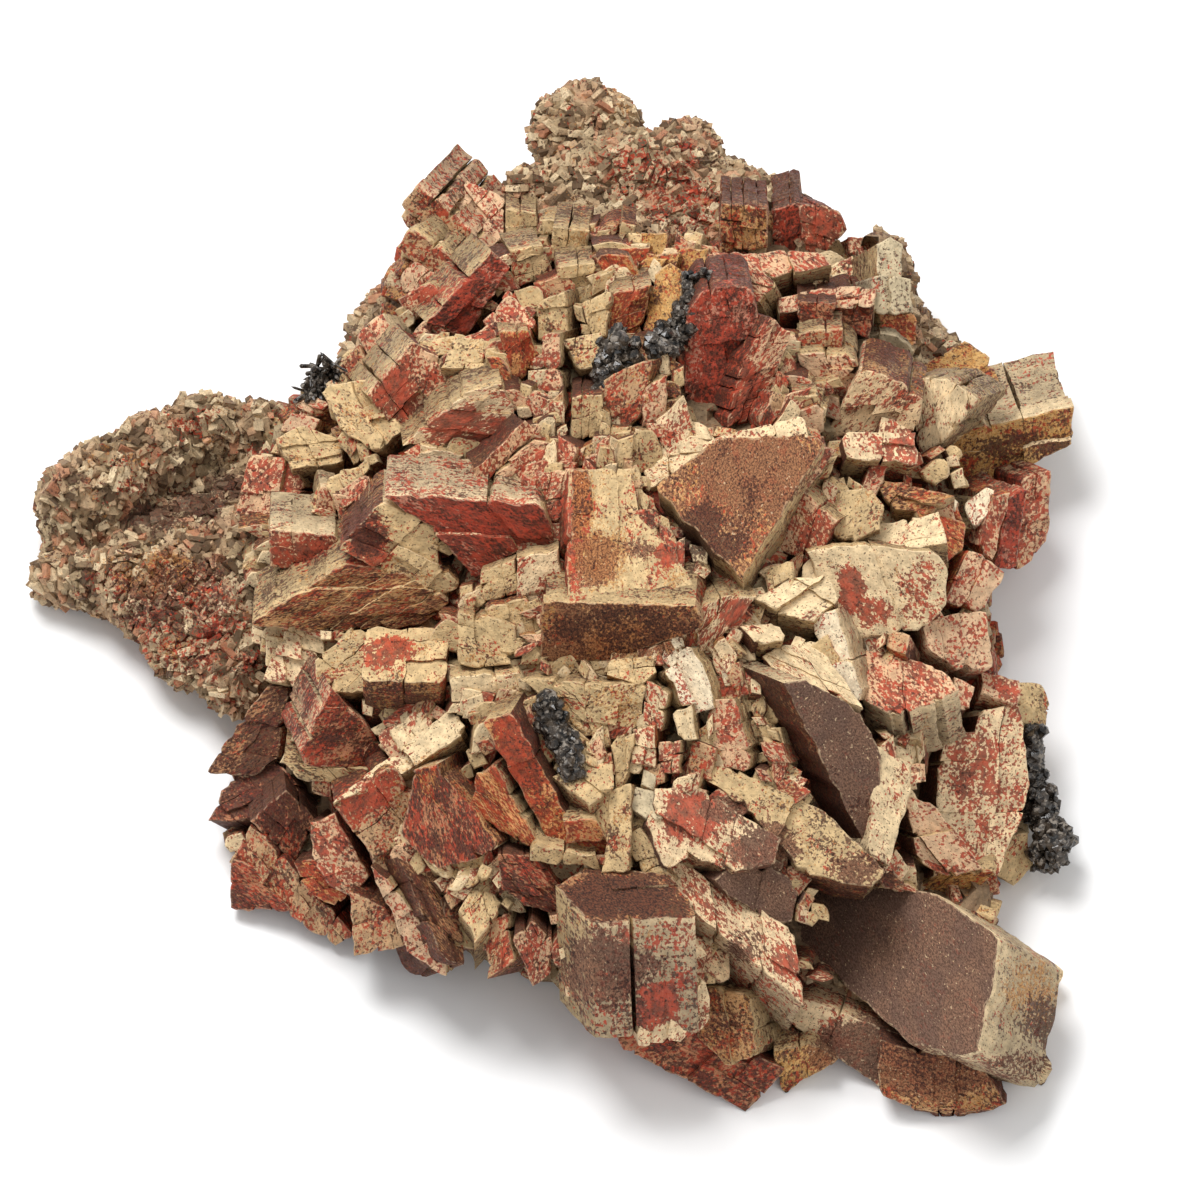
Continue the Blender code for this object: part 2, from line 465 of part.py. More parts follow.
def quartz_crystal(name, row, index, grow, collection):
    """One dark six-sided crystal with a blunt point; grow widens it all round."""
    x, u, lift, facing, lean, length, radius = row
    radius += grow
    bm = bmesh.new()
    bmesh.ops.create_cone(bm, cap_ends=True, segments=6, radius1=radius * MM,
                          radius2=radius * MM, depth=(length + 2 * grow) * MM)
    cap = max(bm.faces, key=lambda face: face.calc_center_median().z)
    tip = bmesh.ops.poke(bm, faces=[cap])["verts"][0]
    tip.co.z += radius * MM
    facing, lean = math.radians(facing), math.radians(lean)
    axis = show_point(math.sin(lean) * math.cos(facing), math.sin(lean) * math.sin(facing), math.cos(lean))
    turn = Vector((0, 0, 1)).rotation_difference(axis).to_matrix().to_4x4()
    place = Matrix.Translation(show_point(x, u, dome_depth(x, u) + lift - 2.0) * MM)
    bm.transform(place @ turn @ Matrix.Rotation(QUARTZ_TWIST * index, 4, "Z"))
    return mesh_object(name, bm, collection)


def build_quartz(name, rows, parts, seats):
    """A tuft of dark crystals grown into one another, and the room they need in the mound."""
    tuft = quartz_crystal(name, rows[0], 0, 0.0, parts)
    others = new_collection(f"{name}_blocks")
    for index, row in enumerate(rows):
        quartz_crystal(f"{name}_seat_{index}", row, index, QUARTZ_GAP, seats)
        if index:
            quartz_crystal(f"{name}_{index}", row, index, 0.0, others)
    boolean(tuft, others, "UNION")
    tuft = settle(tuft, parts)
    hide_helpers(others)
    return tuft


def point_inside(x, u, outline):
    inside = False
    for (x0, u0), (x1, u1) in zip(outline, outline[1:] + outline[:1]):
        if (u0 > u) != (u1 > u) and x < (x1 - x0) * (u - u0) / (u1 - u0) + x0:
            inside = not inside
    return inside


def spoils_the_view(corners):
    """True where a small block would pass the mound's outline or hide a large crystal's face."""
    if not all(point_inside(x, u, MOUND_OUTLINE) for x, u, _ in corners):
        return True
    for row in CRYSTALS:
        facing, lean, outline = math.radians(row[0]), math.radians(row[1]), row[4]
        face = crystal_corners(row)[0]
        x0, u0, d0 = face[0]
        for x, u, depth in corners:
            if not point_inside(x, u, outline):
                continue
            drop = ((x - x0) * math.cos(facing) + (u - u0) * math.sin(facing)) * math.tan(lean)
            if depth > d0 - drop - 1.0:
                return True
    return False


def filler_matrix(rng):
    """A place and a turn for one small block on the mound, back and sides included."""
    around = rng.uniform(0.0, 2.0 * math.pi)
    height = rng.uniform(0.12, 0.98)
    flat = math.sqrt(1.0 - height ** 2)
    half = Vector(DOME_HALF) - Vector((7.0, 7.0, 7.0))
    spot = Vector((half.x * flat * math.cos(around), half.y * flat * math.sin(around), half.z * height))
    outward = Vector((spot.x / half.x ** 2, spot.y / half.y ** 2, spot.z / half.z ** 2)).normalized()
    spot += Vector((*DOME_CENTRE, 0.0))
    turn = Vector((0, 0, 1)).rotation_difference(outward).to_matrix().to_4x4()
    tilt = Matrix.Rotation(rng.uniform(-0.5, 0.5), 4, "X") @ Matrix.Rotation(rng.uniform(-0.5, 0.5), 4, "Y")
    spin = Matrix.Rotation(rng.uniform(0.0, math.pi), 4, "Z")
    size = Matrix.Diagonal((rng.uniform(13, 24), rng.uniform(11, 18), rng.uniform(18, 26), 1.0))
    return Matrix.Translation(spot) @ turn @ tilt @ spin @ size


def show_coordinates(point):
    return point.dot(ACROSS), point.dot(UPSLOPE), point.dot(VIEWER)


def add_fillers(blocks):
    """Small blocks between the large crystals and over the hidden back."""
    rng = random.Random(SEED)
    metres = Matrix.Diagonal((MM, MM, MM, 1.0))
    for index in range(FILLERS):
        placed = filler_matrix(rng)
        corners = [placed @ Vector((i, j, k)) for i in (-0.5, 0.5) for j in (-0.5, 0.5) for k in (-0.5, 0.5)]
        if spoils_the_view([show_coordinates(corner) for corner in corners]):
            continue
        bm = bmesh.new()
        bmesh.ops.create_cube(bm, size=1.0, matrix=metres @ placed)
        mesh_object(f"filler_{index}", bm, blocks)


def build_crystals(parts, blocks, seats):
    """The mound of crystals as one body, cut to fit over the rock and round the quartz."""
    bm = bmesh.new()
    add_lump(bm, (*CORE_CENTRE, 0.0, *CORE_HALF))
    mound = mesh_object("microcline_crystals", bm, parts)
    for index, lump in enumerate(SHOULDERS):
        bm = bmesh.new()
        add_lump(bm, lump, detail=2)
        mesh_object(f"shoulder_{index}", bm, blocks)
    for index, row in enumerate(CRYSTALS):
        bm = bmesh.new()
        add_prism(bm, *crystal_corners(row))
        mesh_object(f"crystal_{index}", bm, blocks)
    add_fillers(blocks)
    boolean(mound, blocks, "UNION")
    mound = settle(mound, parts)
    split = mound.modifiers.new("Split", "TRIANGULATE")
    split.min_vertices = 4
    thin = mound.modifiers.new("Thin", "DECIMATE")
    thin.ratio = CRYSTALS_KEEP
    mound = settle(mound, parts)
    ground_cutter(seats, CRYSTALS_CLEAR)
    boolean(mound, seats, "DIFFERENCE")
    mound = settle(mound, parts)
    keep_largest_body(mound)
    return mound


def main():
    clear_scene()
    parts = new_collection("microcline_on_matrix")
    cutters = new_collection("cutters")
    seats = new_collection("seats")
    blocks = new_collection("crystal_blocks")
    matrix = build_matrix(parts, cutters)
    rock_seat(matrix, seats)
    pieces = {matrix: "matrix"}
    for name, rows in QUARTZ.items():
        pieces[build_quartz(name, rows, parts, seats)] = "smoky_quartz"
    pieces[build_crystals(parts, blocks, seats)] = "microcline_crystals"
    for piece, finish in pieces.items():
        piece.data.materials.clear()
        piece.data.materials.append(finish_material(piece.name, finish))
    for helpers in (cutters, seats, blocks):
        hide_helpers(helpers)


main()
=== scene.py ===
import math
import random

import bmesh
import bpy
import numpy as np
from mathutils import Matrix, Vector, noise


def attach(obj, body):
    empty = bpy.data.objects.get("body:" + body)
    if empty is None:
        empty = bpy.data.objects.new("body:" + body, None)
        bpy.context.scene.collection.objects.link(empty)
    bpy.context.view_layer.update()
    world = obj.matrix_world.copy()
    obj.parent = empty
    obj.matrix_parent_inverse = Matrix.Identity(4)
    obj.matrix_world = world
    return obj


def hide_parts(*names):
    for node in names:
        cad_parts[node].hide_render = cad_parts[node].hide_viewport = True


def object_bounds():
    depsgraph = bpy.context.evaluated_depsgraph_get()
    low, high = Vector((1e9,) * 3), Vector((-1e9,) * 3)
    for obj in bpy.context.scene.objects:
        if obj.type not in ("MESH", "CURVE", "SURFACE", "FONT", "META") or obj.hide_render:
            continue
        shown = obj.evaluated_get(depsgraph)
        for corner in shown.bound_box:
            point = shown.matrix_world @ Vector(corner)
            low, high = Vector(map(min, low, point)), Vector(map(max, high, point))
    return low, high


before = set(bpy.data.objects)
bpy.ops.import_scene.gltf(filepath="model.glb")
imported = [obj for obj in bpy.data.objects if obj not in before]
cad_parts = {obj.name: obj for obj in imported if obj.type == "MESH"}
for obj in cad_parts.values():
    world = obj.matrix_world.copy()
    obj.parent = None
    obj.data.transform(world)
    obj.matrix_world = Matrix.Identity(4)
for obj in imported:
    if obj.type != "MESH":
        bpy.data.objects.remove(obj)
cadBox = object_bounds()
mm = 0.001
viewSlope = math.radians(60)                       # how far the camera looks down
across = np.array([1.0, 0.0, 0.0])
upSlope = np.array([0.0, math.sin(viewSlope), math.cos(viewSlope)])
viewer = np.array([0.0, -math.cos(viewSlope), math.sin(viewSlope)])
showAxes = np.array([across, upSlope, viewer])     # rows: X, U and depth of the show face
lowest = np.array(cadBox[0]) / mm + 0.05
highest = np.array(cadBox[1]) / mm - 0.05

mound = {"centre": (10.0, -20.0), "half": (128.0, 148.0, 95.0), "lowestFace": 14.0,
         "coreCentre": (12.0, -16.0, 0.0), "coreHalf": (106.0, 122.0, 81.0), "rootDepth": 27.0}

# Each finish: base colour, then how much red, brown coat, dark and ochre stain lies on it.
finishes = {
    "cream": ((231, 204, 160), 0.22, 0.0, 0.10, 0.16),
    "speckled": ((231, 202, 159), 0.42, 0.0, 0.12, 0.10),
    "red": ((220, 178, 138), 0.52, 0.10, 0.26, 0.12),
    "crimson": ((196, 130, 104), 0.68, 0.0, 0.40, 0.0),
    "pink": ((218, 180, 142), 0.42, 0.0, 0.18, 0.14),
    "tan": ((208, 178, 130), 0.24, 0.0, 0.22, 0.24),
    "tanRed": ((200, 160, 118), 0.46, 0.12, 0.30, 0.24),
    "grey": ((196, 178, 144), 0.12, 0.0, 0.20, 0.06),
    "white": ((236, 216, 182), 0.30, 0.0, 0.10, 0.0),
    "coat": ((214, 180, 138), 0.20, 0.98, 0.05, 0.0),
    "mixed": ((222, 190, 146), 0.42, 0.28, 0.20, 0.16),
    "rust": ((196, 148, 98), 0.40, 0.62, 0.34, 0.46),
    "brown": ((196, 150, 100), 0.44, 0.38, 0.42, 0.44),
    "ochre": ((206, 162, 100), 0.34, 0.24, 0.34, 0.56),
    "orange": ((214, 150, 96), 0.56, 0.12, 0.26, 0.50),
    "dark": ((172, 124, 84), 0.38, 0.36, 0.64, 0.26),
    "darkRed": ((184, 124, 88), 0.56, 0.22, 0.50, 0.24),
}

# Each crystal: the way its face looks, its lean, length and lift, the finish of its face, of its
# left and right sides and of its front and back sides, the size of its growth blocks, its outline.
frontRight = [
    (153, 42, 32, 6, "coat cream cream", 0,
     [(58, -92), (63, -84), (99, -88), (118, -101), (111, -135), (92, -131), (60, -102)]),
    (-25, 42, 34, 2, "cream cream cream", 9, [(117, -101), (138, -111), (131, -131), (111, -129)]),
    (-60, 30, 38, -2, "cream mixed brown", 9, [(110, -130), (120, -125), (135, -139), (131, -145), (108, -140)]),
    (-95, 20, 26, -1, "brown darkRed dark", 8, [(84, -132), (112, -138), (120, -150), (103, -156), (84, -147)]),
    (-110, 25, 26, -1, "speckled cream mixed", 16,
     [(34, -104), (38, -101), (60, -119), (92, -131), (86, -147), (60, -128), (51, -121)]),
    (60, 22, 26, 1, "speckled mixed speckled", 13,
     [(20, -82), (22, -78), (33, -83), (57, -98), (60, -120), (39, -101), (28, -92)]),
    (40, 20, 26, 3, "speckled coat mixed", 13,
     [(15, -67), (17, -57), (30, -57), (53, -71), (51, -78), (38, -80), (28, -75), (20, -80)]),
    (-20, 25, 24, 0, "coat coat coat", 12,
     [(35, -83), (39, -80), (51, -80), (58, -85), (56, -95), (53, -96), (39, -88)]),
    (60, 12, 24, 2, "tan tan brown", 22,
     [(31, -53), (33, -50), (41, -51), (66, -63), (84, -80), (80, -85), (60, -80), (44, -62)]),
    (200, 20, 20, 0, "tan tan tan", 8, [(7, -71), (12, -69), (22, -83), (19, -87), (14, -83)]),
    (100, 25, 18, 0, "grey grey grey", 0, [(10, -56), (17, -57), (18, -64), (15, -65), (10, -62)]),
    (92, 60, 40, 12, "dark tan speckled", 16, [(-12, -85), (-4, -80), (20, -82), (28, -93), (-2, -95)]),
    (-60, 20, 24, 12, "speckled cream speckled", 9,
     [(20, -112), (31, -114), (32, -124), (25, -130), (12, -132), (14, -118)]),
    (200, 30, 26, 2, "brown tan tan", 8, [(32, -116), (44, -118), (46, -135), (38, -138), (30, -130)]),
    (-90, 35, 26, -2, "ochre tan tan", 7, [(52, -135), (62, -133), (70, -137), (55, -147)]),
    (-90, 20, 26, -1, "darkRed red darkRed", 10,
     [(4, -126), (30, -128), (55, -140), (43, -152), (20, -140), (8, -134)]),
]
rightSide = [
    (-22, 35, 40, 5, "coat dark cream", 0, [(55, -25), (63, -25), (76, -33), (83, -45), (83, -65), (79, -73)]),
    (10, 30, 26, 1, "cream cream tan", 0, [(82, -44), (92, -50), (93, -55), (86, -78), (80, -75)]),
    (75, 35, 26, 2, "cream dark cream", 12,
     [(49, -17), (55, -14), (64, -13), (70, -21), (78, -32), (63, -25), (55, -24)]),
    (200, 20, 22, 3, "white cream cream", 12, [(63, -6), (70, -3), (78, -28), (76, -30), (66, -14)]),
    (102, 48, 19, 5, "red dark cream", 14, [(78, -29), (88, -34), (106, -27), (100, -20), (76, -14)]),
    (10, 20, 32, 0, "speckled dark cream", 16,
     [(103, -40), (114, -40), (114, -34), (125, -31), (128, -55), (125, -67), (118, -82), (100, -82)]),
    (-20, 30, 26, 3, "pink dark tan", 12, [(91, -59), (100, -62), (114, -80), (103, -82), (96, -77)]),
    (-90, 45, 26, 0, "ochre tan tan", 8, [(96, -86), (103, -81), (118, -82), (110, -88), (98, -89)]),
    (-30, 30, 26, 0, "tan tan tan", 7, [(120, -74), (128, -70), (129, -80), (124, -85), (118, -81)]),
    (0, 35, 30, 2, "tan tan tan", 7, [(125, -25), (133, -26), (134, -33), (132, -44), (126, -42)]),
    (60, 35, 24, 1, "pink pink pink", 7, [(115, -22), (125, -25), (124, -31), (115, -28)]),
    (30, 22, 26, 2, "pink pink pink", 9, [(97, -8), (105, -5), (115, -4), (117, -20), (107, -20), (99, -14)]),
    (-60, 12, 30, 2, "cream cream tan", 17,
     [(63, 14), (77, 16), (96, 14), (103, 12), (102, -3), (96, -8), (77, -11), (71, -8)]),
    (100, 32, 22, 3, "cream cream tan", 9, [(80, 21), (101, 26), (103, 17), (85, 13), (78, 10)]),
    (40, 30, 22, 0, "orange tan tan", 8, [(95, 27), (109, 23), (108, 15), (102, 12)]),
    (210, 25, 24, 0, "red red tan", 8, [(60, 33), (70, 23), (64, 13), (54, 15)]),
    (80, 15, 22, 2, "tan tan tan", 0, [(72, 32), (80, 33), (84, 28), (83, 22), (75, 18), (70, 20)]),
    (10, 30, 26, 0, "pink orange orange", 9, [(104, 0), (111, 15), (121, 8), (114, -3)]),
    (-25, 25, 26, 1, "red red orange", 0, [(114, 16), (118, 30), (123, 31), (118, 13)]),
    (-25, 28, 28, 3, "crimson red red", 0, [(119, 11), (123, 29), (128, 33), (125, 10)]),
    (-25, 32, 30, 5, "red crimson red", 8, [(126, 9), (128, 36), (136, 38), (135, 20), (131, 14)]),
    (120, 30, 14, 0, "white white white", 0, [(110, 29), (117, 34), (119, 31), (113, 22)]),
    (62, 38, 20, 4, "speckled dark tan", 9, [(74, 43), (94, 41), (94, 50), (74, 50)]),
    (-100, 20, 30, 2, "mixed speckled brown", 10, [(68, 49), (79, 69), (90, 65), (96, 60), (95, 52), (83, 51)]),
    (90, 22, 20, 1, "brown tan tan", 8, [(83, 36), (93, 34), (105, 31), (98, 26), (88, 28)]),
    (0, 20, 14, 1, "tan tan tan", 0, [(97, 39), (103, 42), (105, 38), (101, 35)]),
    (60, 35, 32, 8, "ochre tan brown", 7, [(92, 68), (111, 78), (118, 73), (120, 66), (112, 60), (106, 66)]),
    (200, 20, 30, 5, "cream tan tan", 6, [(92, 66), (104, 66), (113, 60), (103, 48), (97, 44)]),
    (-72, 30, 36, 16, "ochre tan cream", 12, [(105, 50), (143, 58), (142, 47), (126, 40), (106, 31)]),
    (90, 32, 22, 3, "cream cream tan", 9, [(47, 0), (57, 6), (68, 7), (70, 0), (63, -6), (55, -4)]),
    (75, 42, 18, 2, "cream dark tan", 7, [(42, -8), (52, -7), (55, -12), (47, -13)]),
    (200, 20, 22, 1, "red tan tan", 8, [(33, -31), (40, -30), (44, -44), (44, -50), (37, -49)]),
    (190, 25, 20, 0, "white tan grey", 0, [(23, -17), (27, -14), (33, -27), (33, -32), (27, -33), (25, -28)]),
]
centre = [
    (100, 28, 26, 8, "rust tan tan", 0, [(17, 34), (35, 47), (62, 49), (66, 46), (42, 7)]),
    (-22, 52, 20, 2, "red red tanRed", 14, [(42, 6), (66, 46), (70, 44), (36, -3), (31, -5)]),
    (120, 35, 20, 3, "cream tan tan", 10, [(12, 42), (27, 46), (45, 51), (60, 55), (62, 48), (35, 46), (16, 34)]),
    (-60, 25, 20, 2, "speckled tan tan", 8, [(29, -14), (30, -3), (36, 0), (46, 1), (40, -6), (32, -15)]),
    (70, 30, 40, 5, "tan tanRed rust", 14, [(-9, 0), (28, -2), (27, 6), (20, 15), (9, 24), (9, 38), (-9, 38)]),
    (-95, 40, 20, 3, "rust tanRed tan", 0, [(-16, -1), (28, -2), (30, -8), (4, -17), (-17, -18)]),
    (70, 30, 12, 7, "rust red brown", 13, [(-9, 1), (9, 0), (5, 12), (-2, 24), (-3, 38), (-8, 38)]),
    (180, 30, 22, 2, "red speckled tan", 6, [(-18, 37), (-8, 39), (-11, 26), (-15, 24)]),
    (-93, 34, 22, 4, "crimson tan speckled", 18, [(-64, 31), (-18, 28), (-15, 19), (-26, 15), (-37, 7), (-50, 22)]),
    (-90, 18, 18, 1, "speckled tan tan", 0, [(-24, 12), (-13, 14), (-12, 5), (-24, 1)]),
    (-110, 15, 18, 0, "tan tan tan", 5, [(-35, 8), (-26, 11), (-25, 2), (-34, 0)]),
    (-80, 15, 18, 0, "tan tan brown", 6, [(-33, -2), (-22, 0), (-20, -9), (-31, -11)]),
    (-100, 12, 22, 2, "tan tan tan", 8, [(-42, -4), (-26, -8), (-27, -19), (-42, -19)]),
    (-80, 25, 22, 1, "cream cream tan", 10, [(-44, -23), (-24, -22), (-23, -25), (-32, -29), (-43, -30)]),
    (-90, 15, 20, 1, "tan tan tan", 9, [(-4, -26), (13, -25), (11, -38), (-4, -36)]),
    (-130, 18, 20, 2, "tan tan tan", 9, [(-22, -24), (-5, -25), (-5, -38), (-9, -37)]),
    (90, 20, 18, 2, "tan tan ochre", 6, [(3, -18), (15, -17), (16, -21), (12, -25), (3, -22)]),
    (20, 20, 18, 2, "white tan tan", 0, [(20, -21), (23, -20), (28, -30), (25, -31)]),
    (200, 20, 18, 1, "speckled tan tan", 6, [(14, -25), (20, -28), (18, -38), (13, -36)]),
    (200, 15, 18, 1, "cream tan tan", 0, [(22, -34), (27, -32), (28, -41), (24, -41)]),
    (180, 15, 18, 1, "speckled orange tan", 5, [(10, -39), (16, -38), (16, -49), (10, -48)]),
    (180, 15, 18, 1, "red tan tan", 5, [(18, -43), (24, -42), (23, -51), (18, -51)]),
    (238, 28, 20, 6, "orange dark tan", 18, [(-26, -34), (-6, -71), (-14, -74), (-34, -37)]),
    (220, 25, 22, 2, "orange tan tan", 8, [(-38, -63), (-36, -52), (-31, -50), (-19, -72), (-21, -73)]),
    (100, 42, 20, 4, "tan tan tan", 9, [(-13, -53), (-8, -50), (3, -49), (3, -55), (-3, -60)]),
    (-90, 30, 20, 3, "orange tan tan", 9, [(-10, -66), (-2, -65), (1, -71), (-9, -72)]),
    (-90, 35, 22, 3, "tan tan tan", 9, [(-19, -73), (-2, -76), (-1, -80), (-20, -77)]),
    (190, 15, 20, 2, "tan tan tan", 14, [(3, -58), (9, -55), (9, -80), (1, -80)]),
    (200, 15, 20, 1, "tan tan tan", 7, [(4, -42), (10, -40), (8, -50), (5, -58)]),
]
lowerLeft = [
    (92, 50, 21, 6, "tan brown brown", 9, [(-47, -24), (-46, -9), (-69, -9), (-70, -24)]),
    (150, 22, 26, 0, "speckled cream tan", 8, [(-100, -23), (-94, -10), (-86, -11), (-84, -27)]),
    (100, 15, 26, 1, "tan tan tan", 9, [(-84, -18), (-73, -8), (-64, -13), (-66, -19), (-71, -27), (-83, -27)]),
    (-60, 30, 26, 2, "darkRed red cream", 9,
     [(-80, -27), (-70, -38), (-65, -45), (-66, -50), (-87, -49), (-88, -45)]),
    (205, 42, 22, 2, "cream darkRed cream", 8, [(-81, -25), (-88, -46), (-95, -48), (-90, -38)]),
    (-95, 35, 22, 1, "tan tan tan", 9, [(-94, -48), (-87, -50), (-65, -50), (-70, -55), (-88, -54)]),
    (205, 22, 26, 0, "dark tanRed dark", 9, [(-100, -27), (-94, -27), (-97, -46), (-103, -52), (-118, -51)]),
    (-60, 20, 26, 3, "tanRed red brown", 13, [(-79, -60), (-62, -50), (-52, -64), (-67, -77)]),
    (120, 25, 24, 2, "cream tan tan", 12, [(-79, -60), (-67, -50), (-46, -34), (-41, -36), (-41, -40), (-60, -52)]),
    (210, 25, 26, 5, "darkRed brown cream", 15,
     [(-55, -51), (-48, -50), (-31, -73), (-38, -77), (-49, -79), (-58, -70)]),
    (-80, 25, 26, 1, "darkRed dark dark", 8, [(-104, -66), (-94, -58), (-85, -66), (-92, -78)]),
    (150, 30, 26, 1, "darkRed dark dark", 7,
     [(-112, -56), (-98, -49), (-90, -57), (-94, -62), (-105, -66), (-117, -66)]),
    (230, 30, 26, 0, "darkRed tanRed dark", 7, [(-110, -78), (-105, -80), (-93, -93), (-110, -92)]),
    (225, 30, 24, 1, "tanRed darkRed dark", 8, [(-104, -68), (-74, -100), (-80, -103), (-95, -92), (-110, -79)]),
    (220, 20, 24, 2, "red darkRed dark", 8,
     [(-86, -67), (-79, -65), (-70, -82), (-74, -88), (-80, -85), (-85, -76)]),
    (230, 25, 22, 2, "orange darkRed dark", 6, [(-91, -79), (-85, -78), (-76, -88), (-80, -91), (-87, -87)]),
    (-110, 30, 30, -1, "tanRed red dark", 7, [(-74, -88), (-65, -92), (-57, -98), (-58, -103), (-73, -106)]),
    (225, 25, 26, 1, "pink tan dark", 8, [(-68, -80), (-63, -84), (-47, -105), (-46, -112), (-57, -104)]),
    (20, 28, 26, 0, "dark dark dark", 8, [(-60, -77), (-50, -84), (-42, -97), (-41, -108), (-47, -105)]),
    (90, 22, 22, 1, "tan tan brown", 6, [(-41, -92), (-38, -86), (-31, -89), (-30, -92), (-37, -101)]),
    (190, 22, 24, 0, "tanRed tan brown", 6, [(-34, -97), (-28, -94), (-26, -107), (-33, -112)]),
    (-90, 30, 26, -1, "red tanRed dark", 5, [(-25, -101), (-20, -96), (-15, -101), (-15, -111), (-20, -114)]),
    (-90, 20, 24, 0, "darkRed darkRed dark", 5,
     [(-30, -76), (-19, -77), (-12, -86), (-13, -93), (-22, -90), (-28, -86)]),
]
upperLeft = [
    (-90, 32, 22, 8, "red tan cream", 9, [(-99, 21), (-80, 19), (-79, 10), (-98, 10)]),
    (-90, 20, 30, 4, "tan brown cream", 8, [(-78, 15), (-65, 29), (-49, 21), (-49, 11), (-42, 4), (-50, 2)]),
    (-92, 28, 32, 0, "brown tanRed tan", 10, [(-104, -7), (-76, 10), (-60, 8), (-45, -1), (-57, -8), (-90, -9)]),
    (180, 25, 30, 1, "red tan tanRed", 8, [(-105, 43), (-92, 42), (-90, 33), (-100, 25), (-109, 27)]),
    (100, 20, 26, 0, "tan tan tan", 7, [(-97, 48), (-90, 52), (-78, 48), (-78, 42), (-92, 40)]),
    (150, 25, 20, 0, "pink pink tan", 0, [(-96, 51), (-93, 56), (-85, 54), (-88, 50)]),
    (150, 20, 30, 2, "tan tan tan", 9, [(-83, 63), (-69, 66), (-60, 51), (-68, 45), (-77, 52)]),
    (170, 25, 28, 1, "red cream tanRed", 7, [(-73, 80), (-66, 86), (-59, 76), (-66, 68)]),
    (-45, 20, 26, 2, "red tan darkRed", 8, [(-69, 62), (-56, 77), (-48, 71), (-46, 63), (-60, 50)]),
    (-80, 25, 22, 2, "speckled tan tan", 9, [(-58, 47), (-40, 61), (-30, 64), (-27, 58), (-26, 50), (-35, 45)]),
    (-50, 30, 18, 3, "red red dark", 0, [(-38, 38), (-23, 53), (-20, 50), (-35, 34)]),
    (-132, 36, 30, 12, "tanRed tan pink", 6, [(-60, 120), (-55, 126), (-34, 107), (-38, 101)]),
    (-132, 32, 28, 8, "tanRed tan tan", 6, [(-61, 107), (-57, 112), (-40, 101), (-41, 97), (-47, 94)]),
    (90, 25, 26, 6, "pink pink pink", 7, [(-47, 121), (-40, 127), (-30, 122), (-30, 110), (-38, 110)]),
    (180, 25, 20, 1, "pink red pink", 6, [(-60, 98), (-56, 102), (-50, 98), (-58, 90)]),
    (210, 30, 20, 1, "red pink tan", 6, [(-60, 91), (-52, 95), (-47, 92), (-57, 85)]),
    (-45, 22, 24, 2, "crimson tan pink", 9, [(-52, 84), (-33, 104), (-28, 100), (-40, 80)]),
    (-90, 18, 20, -2, "tan tan tan", 5, [(-28, 118), (-20, 117), (-19, 108), (-28, 108)]),
    (-60, 20, 20, -4, "tan tan tan", 5, [(-27, 105), (-18, 107), (-15, 98), (-25, 95)]),
    (-100, 25, 20, -3, "tan tan tan", 4, [(-14, 112), (-4, 111), (-5, 102), (-14, 103)]),
    (-80, 20, 20, 1, "tan tan tan", 4, [(-12, 100), (-2, 101), (-2, 93), (-12, 92)]),
    (-80, 20, 20, 1, "orange tan tan", 6, [(-30, 80), (-22, 80), (-18, 71), (-26, 66)]),
    (120, 25, 20, 2, "red orange tan", 6, [(-34, 84), (-27, 91), (-20, 84), (-22, 79), (-31, 80)]),
    (90, 40, 18, 3, "tan darkRed tan", 6, [(-47, 70), (-44, 78), (-36, 78), (-35, 70)]),
    (200, 18, 20, 2, "tan tan tan", 6, [(-18, 89), (-11, 92), (-10, 79), (-18, 79)]),
    (200, 18, 20, 1, "red tan tan", 6, [(-17, 79), (-12, 79), (-12, 63), (-17, 63)]),
    (90, 20, 20, 0, "tan tan tan", 6, [(-11, 78), (0, 80), (0, 70), (-6, 70)]),
    (-90, 20, 18, 0, "tan tan dark", 5, [(-8, 60), (0, 61), (0, 50), (-8, 48)]),
    (180, 25, 20, 2, "tan tan tan", 5, [(-5, 89), (3, 92), (2, 80), (-2, 80)]),
    (-80, 20, 20, 2, "orange orange tan", 6, [(4, 91), (15, 94), (14, 91), (12, 80), (2, 80)]),
    (150, 30, 16, 4, "ochre ochre ochre", 0, [(13, 82), (17, 97), (21, 101), (24, 98), (24, 88), (18, 80)]),
    (200, 22, 22, 1, "tanRed brown tan", 7, [(1, 64), (7, 69), (15, 71), (12, 56), (8, 52), (2, 57)]),
    (-30, 20, 20, 1, "pink brown tan", 6, [(13, 62), (19, 66), (20, 55), (13, 53)]),
]
